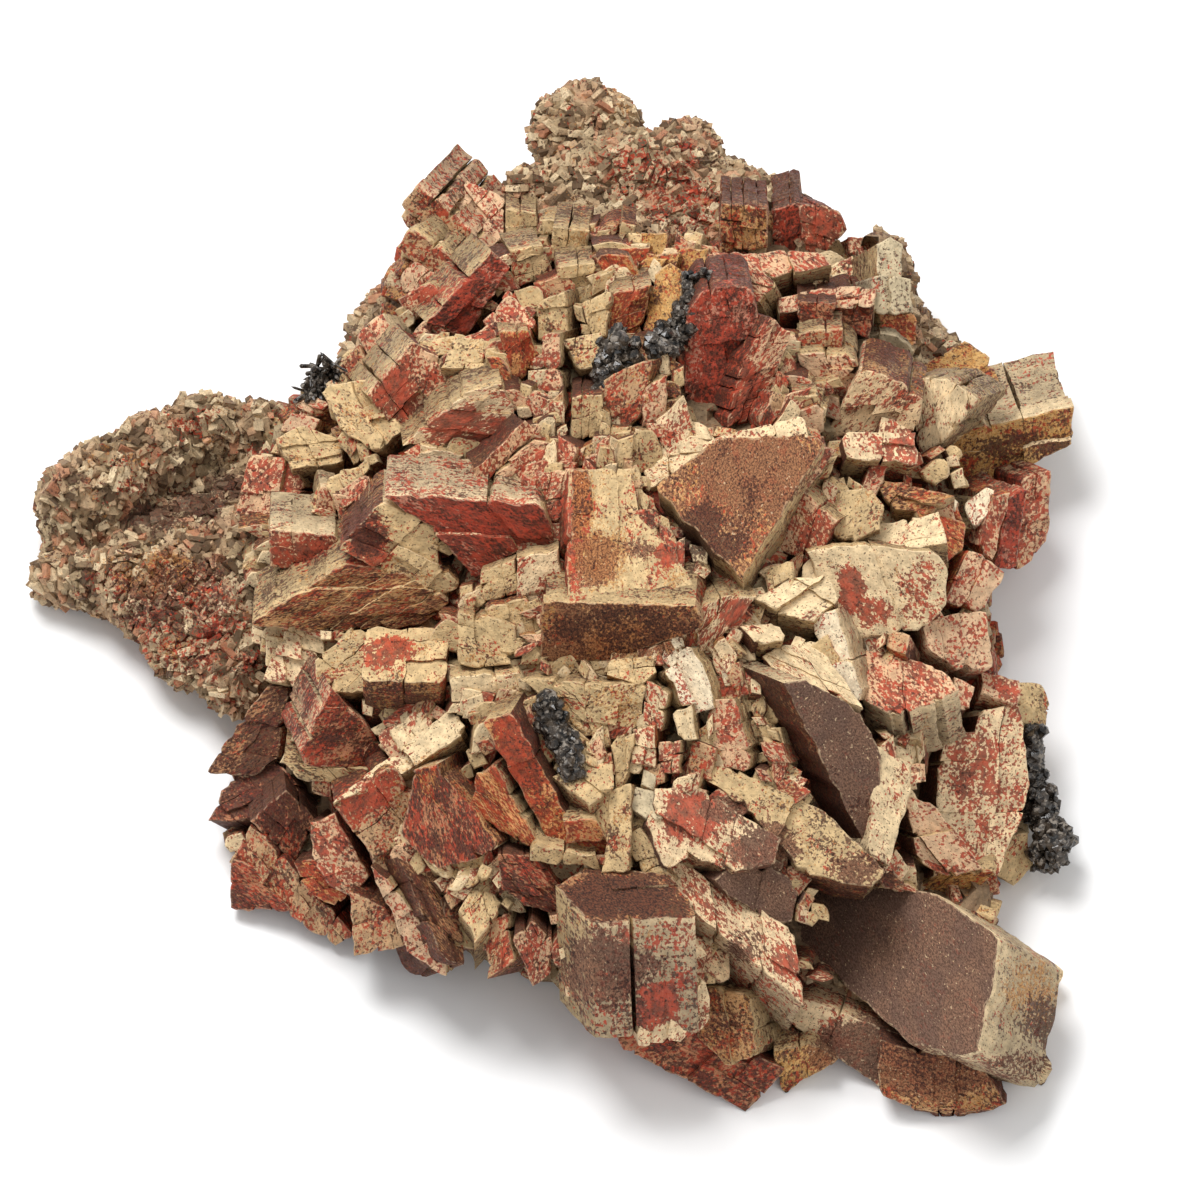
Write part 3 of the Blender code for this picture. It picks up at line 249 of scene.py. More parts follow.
upperRight = [
    (-80, 20, 30, 3, "crimson darkRed darkRed", 9,
     [(26, 84), (31, 92), (44, 94), (47, 86), (43, 70), (36, 58), (26, 60)]),
    (-20, 30, 26, 1, "red darkRed darkRed", 5, [(38, 52), (48, 56), (57, 80), (50, 84), (43, 70)]),
    (120, 28, 24, 2, "red speckled tan", 7,
     [(28, 103), (33, 105), (45, 101), (52, 95), (46, 90), (39, 93), (33, 92)]),
    (-90, 20, 26, 9, "brown red dark", 6, [(37, 120), (50, 118), (50, 107), (37, 106)]),
    (-90, 25, 26, 9, "crimson red dark", 7, [(53, 118), (60, 120), (61, 112), (58, 106), (53, 107)]),
    (-30, 25, 26, 8, "red crimson darkRed", 6, [(61, 120), (72, 118), (74, 113), (68, 106), (62, 106)]),
    (88, 40, 18, 5, "red tan tan", 8, [(32, 105), (67, 105), (69, 101), (52, 98), (40, 101)]),
    (60, 25, 20, 2, "cream tan tan", 6, [(69, 100), (76, 104), (78, 98), (72, 96)]),
    (30, 25, 24, 1, "pink pink tan", 5, [(76, 110), (84, 109), (86, 103), (82, 98), (78, 101)]),
    (88, 40, 22, 5, "pink cream darkRed", 8, [(54, 91), (70, 94), (83, 94), (82, 89), (55, 87)]),
    (-90, 20, 20, 2, "darkRed darkRed dark", 6, [(60, 90), (70, 89), (69, 83), (61, 82)]),
    (-80, 20, 20, 2, "darkRed pink dark", 6, [(71, 91), (82, 91), (81, 79), (72, 84)]),
    (-90, 25, 20, 2, "tanRed pink tan", 6, [(60, 80), (72, 81), (72, 75), (62, 75)]),
    (-90, 30, 20, 2, "pink tan tan", 6, [(60, 74), (75, 73), (77, 70), (70, 66), (62, 68)]),
    (30, 25, 22, 40, "grey tan grey", 0, [(84, 98), (84, 107), (88, 109), (91, 106), (91, 98)]),
    (15, 22, 22, 43, "grey grey tan", 9, [(83, 87), (83, 98), (93, 97), (94, 87)]),
    (20, 25, 22, 1, "orange tan tan", 5, [(85, 80), (85, 87), (95, 86), (95, 78), (89, 77)]),
    (-80, 45, 22, -23, "grey tan grey", 11, [(77, 69), (79, 78), (85, 80), (94, 77), (93, 66), (85, 64)]),
]
crystalGroups = {"crystals_front_right": frontRight, "crystals_right": rightSide, "crystals_centre": centre,
                 "crystals_lower_left": lowerLeft, "crystals_upper_left": upperLeft,
                 "crystals_upper_right": upperRight}
crystals = [row for rows in crystalGroups.values() for row in rows]

# Stain patches on the show face: kind, middle, half width, half height, strength.
stainPatches = [
    ("coat", 80, -134, 17, 9, 1.0), ("coat", 100, -141, 12, 8, 0.7), ("coat", 50, -74, 11, 8, 0.9),
    ("coat", 44, -103, 7, 5, 0.6), ("coat", 38, -62, 9, 4, 0.7), ("coat", 76, -80, 10, 6, 0.7),
    ("coat", 4, -88, 15, 5, 0.75), ("dark", 4, -88, 15, 5, 0.4), ("coat", 1, -109, 12, 12, 0.95),
    ("coat", 14, -108, 6, 6, 0.6), ("red", 17, -120, 6, 6, 0.72),
    ("red", 28, -64, 9, 7, 0.35), ("red", 60, -108, 10, 6, 0.3), ("dark", 70, -62, 9, 14, 0.3),
    ("red", 75, 3, 4, 7, 0.6), ("red", 81, -4, 5, 4, 0.5), ("red", 97, 2, 7, 8, 0.25),
    ("dark", 30, 20, 6, 8, 0.75), ("dark", 36, 16, 7, 4, 0.6), ("coat", 48, 38, 16, 9, 0.9),
    ("red", 40, -3, 5, 4, 0.6), ("red", -7, 20, 4, 18, 0.5), ("red", 22, 14, 5, 3, 0.7),
    ("ochre", -5, 28, 3, 12, 0.7), ("coat", -1, 12, 8, 8, 0.85), ("ochre", -1, 13, 9, 9, 0.5),
    ("coat", 9, 15, 8, 3, 0.7), ("coat", -6, 28, 2, 10, 0.6),
    ("coat", 10, -12, 16, 6, 0.6), ("ochre", 10, -12, 16, 6, 0.4), ("dark", 5, -8, 20, 6, 0.3),
    ("red", -28, 22, 16, 6, 0.35),
    ("red", -25, -45, 8, 10, 0.3), ("ochre", -14, -33, 4, 5, 0.8), ("dark", -100, -58, 16, 12, 0.2),
    ("red", -72, -60, 8, 8, 0.3), ("red", -90, 15, 9, 5, 0.3), ("red", -70, 17, 7, 9, 0.6),
    ("dark", -70, 20, 6, 7, 0.55), ("red", -64, -16, 8, 5, 0.5), ("red", -40, 52, 12, 6, 0.35),
    ("red", -62, 62, 6, 8, 0.3), ("red", 110, -50, 10, 14, 0.12), ("red", 92, 42, 8, 8, 0.25),
    ("dark", 128, 46, 14, 4, 0.35), ("red", -46, 92, 8, 8, 0.3), ("red", 64, 114, 8, 6, 0.3),
    ("ochre", -52, -52, 5, 6, 0.4), ("ochre", 128, -116, 8, 10, 0.45), ("dark", 134, -126, 8, 8, 0.4),
    ("coat", 124, -139, 12, 5, 0.6), ("red", 40, 62, 8, 14, 0.25), ("red", -20, 100, 10, 8, 0.2),
]
rockPatches = [
    ("red", -126, -6, 20, 20, 0.44), ("dark", -128, 2, 16, 14, 0.46), ("ochre", -134, 8, 16, 8, 0.5),
    ("coat", -128, 2, 18, 14, 0.5),
    ("red", -148, 5, 10, 5, 0.45), ("red", -138, 38, 12, 8, 0.32), ("red", -124, 54, 10, 5, 0.36),
    ("ochre", -145, 42, 12, 8, 0.3),
    # The three strong dark patches along the cleft between the arm's two walls are mostly painted shade, partly dark
    # dirt.
    ("dark", -135, 25, 9, 4, 0.9), ("dark", -122, 29, 9, 4, 0.9), ("dark", -111, 34, 8, 4, 0.9),
    ("ochre", -128, -14, 5, 7, 0.5), ("dark", -128, -16, 8, 10, 0.4), ("red", 15, 132, 22, 12, 0.4),
    ("red", 25, 120, 16, 8, 0.45), ("ochre", 8, 148, 6, 5, 0.4), ("red", -110, -20, 10, 14, 0.35),
]
stainKinds = ["red", "coat", "dark", "ochre"]

moundOutline = [
    (-117, -54), (-119, -66), (-110, -78), (-109, -92), (-92, -94), (-74, -102), (-57, -105),
    (-47, -112), (-40, -106), (-31, -112), (-20, -113), (-14, -110), (-9, -120), (-2, -130),
    (10, -133), (20, -140), (43, -151), (62, -142), (76, -141), (86, -147), (103, -156),
    (120, -150), (131, -145), (134, -138), (130, -129), (138, -111), (118, -99), (112, -90),
    (128, -80), (132, -60), (134, -46), (134, -27), (118, -20), (117, -4), (122, 8), (135, 20),
    (136, 38), (128, 40), (143, 47), (145, 56), (140, 64), (118, 74), (111, 79), (95, 70),
    (93, 98), (86, 110), (72, 118), (60, 121), (36, 121), (34, 112), (5, 115), (-14, 118),
    (-30, 120), (-40, 127), (-56, 127), (-61, 118), (-61, 90), (-74, 80), (-86, 66),
    (-96, 56), (-110, 42), (-110, 26), (-106, -8), (-102, -26),
]


def linear(colour):
    return tuple(((c / 255.0 + 0.055) / 1.055) ** 2.4 for c in colour)


def insideOutline(x, u, outline):
    inside = np.zeros(np.shape(x), bool)
    for (x0, u0), (x1, u1) in zip(outline, outline[1:] + outline[:1]):
        if u0 != u1:
            inside ^= ((u0 > u) != (u1 > u)) & (x < (x1 - x0) * (u - u0) / (u1 - u0) + x0)
    return inside


def domeDepth(x, u):
    half = np.array(mound["half"])
    start = (across * x + upSlope * u - np.array([*mound["centre"], 0.0])) / half
    ray = viewer / half
    along = start @ ray
    room = along ** 2 - (ray @ ray) * (start @ start - 1.0)
    depth = (-along + math.sqrt(max(0.0, room))) / (ray @ ray)
    return max(depth, (mound["lowestFace"] - u * upSlope[2]) / viewer[2])


def crystalFace(row):
    # Middle of a crystal's face, its depth and slope, and how its sides run back from it.
    facing, lean, length, lift, _, _, outline = row
    facing, lean = math.radians(facing), math.radians(lean)
    towards = np.array([math.cos(facing), math.sin(facing)])
    middle = np.mean(outline, axis=0)
    depthBack = max(length * math.cos(lean), mound["rootDepth"])
    return (middle, domeDepth(*middle) + lift, towards * math.tan(lean),
            -towards * length * math.sin(lean) / depthBack, depthBack)


def outlineArea(outline):
    after = np.roll(outline, -1, axis=0)
    return 0.5 * float(np.sum(outline[:, 0] * after[:, 1] - outline[:, 1] * after[:, 0]))


def edgeDirections(outline):
    edges = np.roll(outline, -1, axis=0) - outline
    lengths = np.linalg.norm(edges, axis=1)
    first = edges[lengths.argmax()] / lengths.max()
    crossing = np.abs(edges[:, 0] * first[1] - edges[:, 1] * first[0])
    second = edges[crossing.argmax()] / lengths[crossing.argmax()]
    if abs(first[0] * second[1] - first[1] * second[0]) < 0.5:
        second = np.array([-first[1], first[0]])
    return first, second


def clipOutline(outline, axis, limit, below):
    side = (outline @ axis - limit) * (1.0 if below else -1.0)
    kept = []
    for i, here in enumerate(outline):
        j = (i + 1) % len(outline)
        if side[i] <= 0.0:
            kept.append(here)
        if side[i] * side[j] < 0.0:
            kept.append(here + (outline[j] - here) * side[i] / (side[i] - side[j]))
    return np.array(kept)


def splitOutline(outline, duals, size, rng):
    # Cuts a face along its own edge directions, the way cleavage does.
    places = outline @ duals.T
    spans = places.max(axis=0) - places.min(axis=0)
    wanted = np.array([size * 1.5, size]) * rng.uniform(0.75, 1.35)
    which = int((spans / wanted).argmax())
    if spans[which] < wanted[which]:
        return [outline]
    cut = places[:, which].min() + spans[which] * rng.uniform(0.32, 0.68)
    made = []
    for below in (True, False):
        half = clipOutline(outline, duals[which], cut, below)
        if len(half) >= 3 and outlineArea(half) > 2.0:
            made += splitOutline(half, duals, size, rng)
    return made


def walkOutline(outline, step):
    points, sides, edgeOf, corner = [], [], [], []
    for i, start in enumerate(outline):
        edge = outline[(i + 1) % len(outline)] - start
        length = float(np.linalg.norm(edge))
        if length < 0.05:
            continue
        pieces = max(1, round(length / step))
        for k in range(pieces):
            points.append(start + edge * k / pieces)
            sides.append(1 if abs(edge[1]) > abs(edge[0]) else 2)
            edgeOf.append(i)
            corner.append(k == 0)
    return np.array(points), np.array(sides), np.array(edgeOf), np.array(corner)


def newParts():
    return {"count": 0, "points": [], "place": [], "edge": [], "faces": [], "tint": [], "stain": []}


def addLayers(parts, axes, origin, top, layers, bottom, capLayers, sides, finish, tone, paintedShades, edgeValues, places):
    # Joins a centre point, rings of points and a bottom point into one closed block, its side faces darkened by painted
    # shade.
    size = len(layers[0])
    local = np.concatenate([[top], *layers, [bottom]])
    parts["points"].append(origin + local @ axes)
    parts["place"].append(np.concatenate(places))
    parts["edge"].append(np.concatenate(edgeValues))
    ring = np.arange(size)
    after = (ring + 1) % size
    base = parts["count"] + 1
    last = base + (len(layers) - 1) * size
    faces = [np.stack([np.full(size, parts["count"]), base + ring, base + after], 1)]
    kinds, paintedShade = [np.zeros(size, int)], [np.ones(size)]
    for level in range(len(layers) - 1):
        a = base + level * size
        b = a + size
        faces += [np.stack([a + ring, b + ring, b + after], 1), np.stack([a + ring, b + after, a + after], 1)]
        kind = np.zeros(size, int) if level + 1 < capLayers else sides
        kinds += [kind, kind]
        paintedShade.append(np.full(2 * size, paintedShades[level + 1]))
    faces.append(np.stack([last + ring, np.full(size, last + size), last + after], 1))
    kinds.append(sides)
    paintedShade.append(np.full(size, paintedShades[-1]))
    kinds, paintedShade = np.concatenate(kinds), np.concatenate(paintedShade)
    parts["faces"].append(np.concatenate(faces))
    # Painted shade: side faces further below the cap get a darker tint and more dark stain.
    parts["tint"].append(np.array([linear(finishes[word][0]) for word in finish])[kinds] * (tone * paintedShade)[:, None])
    stain = np.array([finishes[word][1:] for word in finish])[kinds]
    stain[:, 2] += (1.0 - paintedShade) * 0.5
    parts["stain"].append(stain)
    parts["count"] += len(local)


# The crevice keys set painted shade: block sides darken with depth below the cap, fully at the crevice depth.
blockLook = {"gap": -0.05, "crack": 0.14, "crackShare": 0.3, "wobble": 0.85, "bevel": 0.40, "innerBevel": 0.07,
             "relief": 0.42, "chipShare": 0.6, "chip": (0.3, 1.6), "tilt": 0.03, "ground": 0.6, "paintedCreviceShade": 0.42,
             "paintedCreviceDepth": 12.0, "plateStep": (1.8, 5.0), "tone": (0.92, 1.07), "cellScale": 1.15, "swell": 0.9,
             "terrace": 0.6, "rimDrops": (0.0, 0.0, 0.0, 0.7, 1.3, 2.2), "plates": (-0.5, -0.25, 0.0, 0.35, 0.7)}


def edgeDistance(points, outline):
    nearest = np.full(len(points), 1e3)
    for start, end in zip(outline, np.roll(outline, -1, axis=0)):
        edge = end - start
        along = np.clip(((points - start) @ edge) / max(1e-6, edge @ edge), 0.0, 1.0)
        nearest = np.minimum(nearest, np.linalg.norm(points - start - along[:, None] * edge, axis=1))
    return nearest


def noiseAt(places, scale, seed):
    return np.array([noise.noise(Vector((p[0] * scale, p[1] * scale, seed))) for p in places])


def addBlocks(parts, axes, origin, face, outline, finish, cell, rng, step=1.7, deepest=24.0, swell=0.0, tone=1.0):
    # One crystal: its face cut into growth blocks, each with chipped rims and stepped sides, the sides darker with
    # depth as painted shade; tone can carry painted shade too.
    middle, depth, slope, shear, depthBack = face
    outline = np.array(outline, float)
    away = outline - outline.mean(axis=0)
    outline = outline + away / np.linalg.norm(away, axis=1)[:, None] * swell
    if outlineArea(outline) < 0.0:
        outline = outline[::-1]
    duals = np.linalg.inv(np.array(edgeDirections(outline)).T)
    cells = [outline] if cell == 0 else splitOutline(outline, duals, cell, rng)
    seed = rng.uniform(0.0, 500.0)
    look = blockLook
    run = np.array([*shear, -1.0])
    fall = min(-0.2, run @ axes[:, 2])
    for piece in cells:
        points, sides, edgeOf, corner = walkOutline(piece, step)
        size = len(points)
        if size < 3:
            continue
        heart = piece.mean(axis=0)
        out = points - heart
        reach = np.linalg.norm(out, axis=1)
        out = out / reach[:, None]
        radius = float(reach.mean())
        outer = edgeDistance(points, outline) < 0.05
        drop = 0.0
        if len(cells) > 1:
            drop = math.floor((noiseAt([heart], 0.07, seed)[0] + 0.6) * 3.0) * look["terrace"]
            drop += rng.choice(look["rimDrops"]) * min(1.0, radius / 5.0) if outer.any() else 0.0
        tilt = np.array([rng.uniform(-look["tilt"], look["tilt"]) for _ in range(2)])
        stray = np.column_stack([noiseAt(points, 0.22, seed + k * 31.0) + 0.45 * noiseAt(points, 0.9, seed + k * 57.0)
                                 for k in (1, 2)]) * look["wobble"] * min(1.0, radius / 3.5)
        chip = np.array([rng.uniform(*look["chip"]) if c and o and rng.random() < look["chipShare"] else 0.0
                         for c, o in zip(corner, outer)]) * min(1.0, radius / 6.0)
        gap = look["crack"] if rng.random() < look["crackShare"] else look["gap"]
        rim = points + stray - out * (gap + chip)[:, None]
        uneven = 0.6 + 0.8 * np.array([rng.random() for _ in range(size)])
        bevel = np.where(outer, min(look["bevel"], 0.14 * radius), look["innerBevel"]) * uneven
        top = rim - out * bevel[:, None]

        def capDepth(p):
            return depth - (p - middle) @ slope - drop - (p - heart) @ tilt

        def relief(p):
            return (noiseAt(p, 0.3, seed + 9.0) + 0.5 * noiseAt(p, 0.9, seed + 19.0)) * look["relief"]

        layers, places, edges, paintedShades = [], [], [], []

        def addRing(flat, high, below, worn):
            local = np.column_stack([flat + shear * below, high])
            short = np.maximum(0.0, look["ground"] - origin[2] - local @ axes[:, 2])
            layers.append(local + (np.minimum(short / -fall, below) * -1.0)[:, None] * run)
            # Painted shade: the deeper a ring lies below the cap, the darker its faces.
            paintedShades.append(1.0 - look["paintedCreviceShade"] * min(1.0, below / look["paintedCreviceDepth"]))
            places.append(np.column_stack([(flat - middle) @ duals.T, np.full(size, -below)]) + seed)
            edges.append(np.full(size, 1.0) * worn)

        count = max(1, int(radius / (step * 1.25)))
        for j in range(1, count):
            flat = heart + (top - heart) * (j / count)
            addRing(flat, capDepth(flat) + relief(flat), 0.0, 0.0)
        if radius > 2.5:
            flat = top - out * 0.7
            addRing(flat, capDepth(flat) + relief(flat) - chip * 0.3, 0.0, 0.25)
        addRing(top, capDepth(top) + relief(top) - chip * 0.6, 0.0, np.where(outer, 1.0, 0.45))
        addRing(rim, capDepth(rim) + relief(rim) - bevel - chip, 0.0, np.where(outer, 1.0, 0.45))
        capLayers = len(layers)
        below, inset = 1.0, 0.0
        share = np.array([rng.choice((0.0, 0.6, 1.0)) for _ in range(len(piece))])[edgeOf]
        while below < min(depthBack * 0.85, deepest):
            flat = rim - out * (inset * share)[:, None]
            addRing(flat, capDepth(rim) - below - 0.4, below, 0.15 if below > 1.0 else 0.3)
            inset = min(1.5, max(-0.3, inset + rng.choice(look["plates"])))
            flat = rim - out * (inset * share)[:, None]
            addRing(flat, capDepth(rim) - below - 0.6, below + 0.2, 0.4)
            below += rng.uniform(*look["plateStep"])
        addRing(rim, capDepth(rim) - depthBack, depthBack, 0.0)
        topPoint = np.append(heart, capDepth(heart) + relief([heart])[0])
        bottomPoint = np.append(heart + shear * depthBack, capDepth(heart) - depthBack)
        zero = np.zeros(1)
        places = [[[*((heart - middle) @ duals.T + seed), seed]], *places, [[seed, seed, seed - depthBack]]]
        addLayers(parts, axes, origin, topPoint, layers, bottomPoint, capLayers, sides, finish,
                  rng.uniform(*look["tone"]) * tone, paintedShades, [zero, *edges, zero], places)


def patchStrength(places, patches):
    # Stain that the patches add at points of the show face.
    added = np.zeros((len(places), 4))
    for kind, x, u, halfX, halfU, strength in patches:
        reach = np.hypot((places[:, 0] - x) / halfX, (places[:, 1] - u) / halfU)
        column = added[:, stainKinds.index(kind)]
        np.maximum(column, strength * np.clip((1.3 - reach) / 0.6, 0.0, 1.0), out=column)
    return added


def colourAttribute(mesh, name, domain, values):
    layer = mesh.attributes.new(name, "FLOAT_COLOR", domain)
    layer.data.foreach_set("color", np.ascontiguousarray(values, np.float32).ravel())


def vectorAttribute(mesh, name, values):
    layer = mesh.attributes.new(name, "FLOAT_VECTOR", "POINT")
    layer.data.foreach_set("vector", np.ascontiguousarray(values, np.float32).ravel())


def floatAttribute(mesh, name, values):
    layer = mesh.attributes.new(name, "FLOAT", "POINT")
    layer.data.foreach_set("value", np.ascontiguousarray(values, np.float32))


def smoothWithSharpEdges(mesh, angle):
    mesh.shade_smooth()
    mesh.set_sharp_from_angle(angle=math.radians(angle))


def finishPiece(piece, material, slotName, *nodes):
    piece.data.materials.clear()
    piece.data.materials.append(material)
    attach(piece, "root")
    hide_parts(*nodes)
    print("piece", piece.name, sum(len(p.vertices) - 2 for p in piece.data.polygons), "triangles")


def newObject(name, mesh):
    made = bpy.data.objects.new(name, mesh)
    bpy.context.scene.collection.objects.link(made)
    return made


def crystalPiece(name, parts, material, ground=0.3):
    points = np.clip(np.concatenate(parts["points"]), lowest + np.array([0.0, 0.0, ground]), highest)
    faces = np.concatenate(parts["faces"])
    mesh = bpy.data.meshes.new(name)
    mesh.from_pydata((points * mm).tolist(), [], faces.tolist())
    stain = np.repeat(np.concatenate(parts["stain"]), 3, axis=0)
    added = patchStrength(points @ showAxes.T, stainPatches)[faces.ravel()]
    tint = np.repeat(np.concatenate(parts["tint"]), 3, axis=0)
    colourAttribute(mesh, "stain", "CORNER", np.clip(stain + added, 0.0, 1.0))
    colourAttribute(mesh, "tint", "CORNER", np.column_stack([tint, np.ones(len(tint))]))
    vectorAttribute(mesh, "growthPlace", np.concatenate(parts["place"]) * mm)
    floatAttribute(mesh, "edgeWear", np.concatenate(parts["edge"]))
    smoothWithSharpEdges(mesh, 30.0)
    finishPiece(newObject(name, mesh), material, "microcline", "microcline_crystals")


# Each pass over the gaps has a size scale and a share of the spacing.
# The shade keys set painted shade: small crystals sunk below the mound's surface are tinted darker, fully at the shade
# depth.
gapFill = {"seed": 11, "keepClear": 14.0, "spacing": 4.8, "size": (5.0, 13.0), "passes": ((1.0, 1.0), (0.55, 0.8)),
           "flat": 0.8, "turned": 0.3, "skew": 0.25, "lift": (-4.0, 1.5), "deep": (8.0, 14.0), "clear": 0.6,
           "farInFront": 30.0, "tries": 5, "stepBack": 2.0, "paintedShadeFullDepth": 12.0, "paintedShade": 0.35}
backCover = {"seed": 12, "count": 1280, "size": (7.0, 20.0), "sink": (-3.0, 2.5), "inset": 6.0}
noCrystal, farBehind = -1000.0, -900.0             # depth of an empty map cell, and a limit to tell it by
mapStart = np.array([-130.0, -165.0])
mapSize = (290, 305)


def mapCrystals():
    # How near the viewer the large crystals and their faces come, on a 1 mm grid.
    x, u = np.meshgrid(mapStart[0] + np.arange(mapSize[0]), mapStart[1] + np.arange(mapSize[1]), indexing="ij")
    front, caps = np.full(x.shape, noCrystal), np.full(x.shape, noCrystal)
    for row in crystals:
        middle, depth, slope, shear, depthBack = crystalFace(row)
        for level in np.linspace(0.0, 1.0, 12):
            shift = shear * depthBack * level
            moved = [(a + shift[0], b + shift[1]) for a, b in row[6]]
            low = np.floor(np.min(moved, axis=0) - mapStart).astype(int)
            high = np.ceil(np.max(moved, axis=0) - mapStart).astype(int) + 1
            part = (slice(low[0], high[0]), slice(low[1], high[1]))
            here = (depth - (x[part] - shift[0] - middle[0]) * slope[0]
                    - (u[part] - shift[1] - middle[1]) * slope[1] - depthBack * level)
            here = np.where(insideOutline(x[part], u[part], moved), here, noCrystal)
            front[part] = np.maximum(front[part], here)
            if level * depthBack < gapFill["keepClear"]:
                caps[part] = np.maximum(caps[part], here)
    return front, caps


def readMap(grid, places):
    cell = np.round(places - mapStart).astype(int)
    return grid[np.clip(cell[:, 0], 0, mapSize[0] - 1), np.clip(cell[:, 1], 0, mapSize[1] - 1)]


def fillGaps(parts, front, caps):
    rng = random.Random(gapFill["seed"])
    middles = np.array([np.mean(row[6], axis=0) for row in crystals])
    placed = 0
    look = gapFill
    for scale, closer in look["passes"]:
        spacing = look["spacing"] * closer
        for x0 in np.arange(-120.0, 146.0, spacing):
            for u0 in np.arange(-154.0, 128.0, spacing):
                x, u = x0 + rng.uniform(-2, 2), u0 + rng.uniform(-2, 2)
                wide, high = rng.uniform(*look["size"]) * scale, rng.uniform(*look["size"]) * scale * look["flat"]
                turned = rng.uniform(-look["turned"], look["turned"])
                lift, deep = rng.uniform(*look["lift"]), rng.uniform(*look["deep"])
                row = crystals[int(np.linalg.norm(middles - (x, u), axis=1).argmin())]
                outline = np.array(row[6], float)
                first = edgeDirections(outline)[0]
                angle = math.atan2(first[1], first[0]) + turned
                turnAxes = np.array([[math.cos(angle), math.sin(angle)], [-math.sin(angle), math.cos(angle)]])
                skew = rng.uniform(-look["skew"], look["skew"])
                box = np.array([(-0.5 - skew, -0.5), (0.5 - skew, -0.5), (0.5 + skew, 0.5), (-0.5 + skew, 0.5)])
                corners = (box * (wide, high)) @ turnAxes + (x, u)
                if not insideOutline(corners[:, 0], corners[:, 1], moundOutline).all():
                    continue
                facing = math.radians(row[0] + rng.uniform(-20, 20))
                lean = math.radians(row[1] * rng.uniform(0.3, 1.0))
                towards = np.array([math.cos(facing), math.sin(facing)])
                slope = towards * math.tan(lean)
                shear = -towards * math.sin(lean) * 0.8
                probes = np.concatenate([corners, (corners + np.roll(corners, 1, axis=0)) / 2, [(x, u)]])
                depth = domeDepth(x, u) + lift
                over = readMap(caps, probes)
                for _ in range(look["tries"]):
                    face = depth - (probes - (x, u)) @ slope
                    hides = (face > over - look["clear"]) & (over > farBehind)
                    if not hides.any() or (over < face - look["farInFront"]).all():
                        break
                    depth -= look["stepBack"]
                else:
                    continue
                if depth < readMap(front, np.array([(x, u)]))[0] + look["clear"]:
                    continue
                words = row[4].split()
                finish = [rng.choice((words[0], words[0], words[1], "tan", "cream", "speckled", "tanRed", "red")),
                          rng.choice((words[1], "tan", "tanRed", "red")),
                          rng.choice((words[2], "tan", "brown", "dark"))]
                if "coat" in finish[0]:
                    finish[0] = "speckled"
                # Painted shade: the deeper a small crystal sits below the mound, the darker its tint, passed on as
                # tone.
                sunk = min(1.0, max(0.0, domeDepth(x, u) - depth) / look["paintedShadeFullDepth"])
                addBlocks(parts, showAxes, np.zeros(3), (np.array([x, u]), depth, slope, shear, deep + 6.0), corners,
                          finish, 0, rng, step=2.2, deepest=10.0, tone=1.0 - look["paintedShade"] * sunk)
                placed += 1
    print("small crystals in the gaps", placed)


def coverBack(parts):
    # Crystals over the sides and the back, which the photo hides.
    rng = random.Random(backCover["seed"])
    half = np.array(mound["half"]) - backCover["inset"]
    placed = 0
    for _ in range(backCover["count"]):
        around, height = rng.uniform(0.0, 2.0 * math.pi), rng.uniform(0.08, 0.98)
        sink = rng.uniform(*backCover["sink"])
        wide, high = rng.uniform(*backCover["size"]), rng.uniform(*backCover["size"])
        tilt = [rng.uniform(-0.4, 0.4) for _ in range(3)]
        flat = math.sqrt(1.0 - height ** 2)
        spot = half * (flat * math.cos(around), flat * math.sin(around), height)
        outward = spot / half ** 2
        outward /= np.linalg.norm(outward)
        spot = spot + outward * sink + (*mound["centre"], 0.0)
        turn = Vector((0, 0, 1)).rotation_difference(Vector(outward)).to_matrix()
        turn = turn @ Matrix.Rotation(tilt[0], 3, "X") @ Matrix.Rotation(tilt[1], 3, "Y")
        turn = turn @ Matrix.Rotation(round(around * 2.0) * 0.7 + tilt[2], 3, "Z")
        axes = np.array(turn).T
        high *= 0.7
        skew = 0.15 * wide
        corners = np.array([(-wide / 2 - skew, -high / 2), (wide / 2 - skew, -high / 2),
                            (wide / 2 + skew, high / 2), (-wide / 2 + skew, high / 2)])
        world = spot + corners @ axes[:2]
        shown = world @ showAxes.T
        if not insideOutline(shown[:, 0], shown[:, 1], moundOutline).all():
            continue
        if outward @ viewer > 0.05 and (shown[:, 2] > readMap(caps, shown[:, :2]) - 1.0).any():
            continue
        if outward @ viewer > 0.45 or world[:, 2].min() < 3.0:
            continue
        finish = rng.choice(("cream tan tan", "speckled tan tanRed", "tan tan brown", "tanRed red dark",
                             "red tanRed tan", "mixed tan brown", "pink tan tan", "brown dark tan")).split()
        face = (np.zeros(2), 0.0, np.zeros(2), np.array([rng.uniform(-0.2, 0.2), rng.uniform(-0.2, 0.2)]), 20.0)
        addBlocks(parts, axes, spot, face, corners, finish, 7.0 if wide > 12 else 0, rng, step=2.4, deepest=9.0)
        placed += 1
    print("crystals on the back and sides", placed)


def newGroup(name, kind, inputs, outputs):
    group = bpy.data.node_groups.new(name, kind)
    for label, socketType, value in inputs:
        socket = group.interface.new_socket(name=label, in_out="INPUT", socket_type=socketType)
        if value is not None:
            socket.default_value = value
    for label, socketType in outputs:
        group.interface.new_socket(name=label, in_out="OUTPUT", socket_type=socketType)
    return group, group.nodes.new("NodeGroupInput").outputs, group.nodes.new("NodeGroupOutput").inputs


def addNode(tree, kind, links=(), **settings):
    made = tree.nodes.new(kind)
    for key, value in settings.items():
        setattr(made, key, value)
    for socket, source in dict(links).items():
        if isinstance(source, bpy.types.NodeSocket):
            tree.links.new(source, made.inputs[socket])
        else:
            made.inputs[socket].default_value = source
    return made


def calculate(tree, operation, *values):
    return addNode(tree, "ShaderNodeMath", enumerate(values), operation=operation).outputs[0]


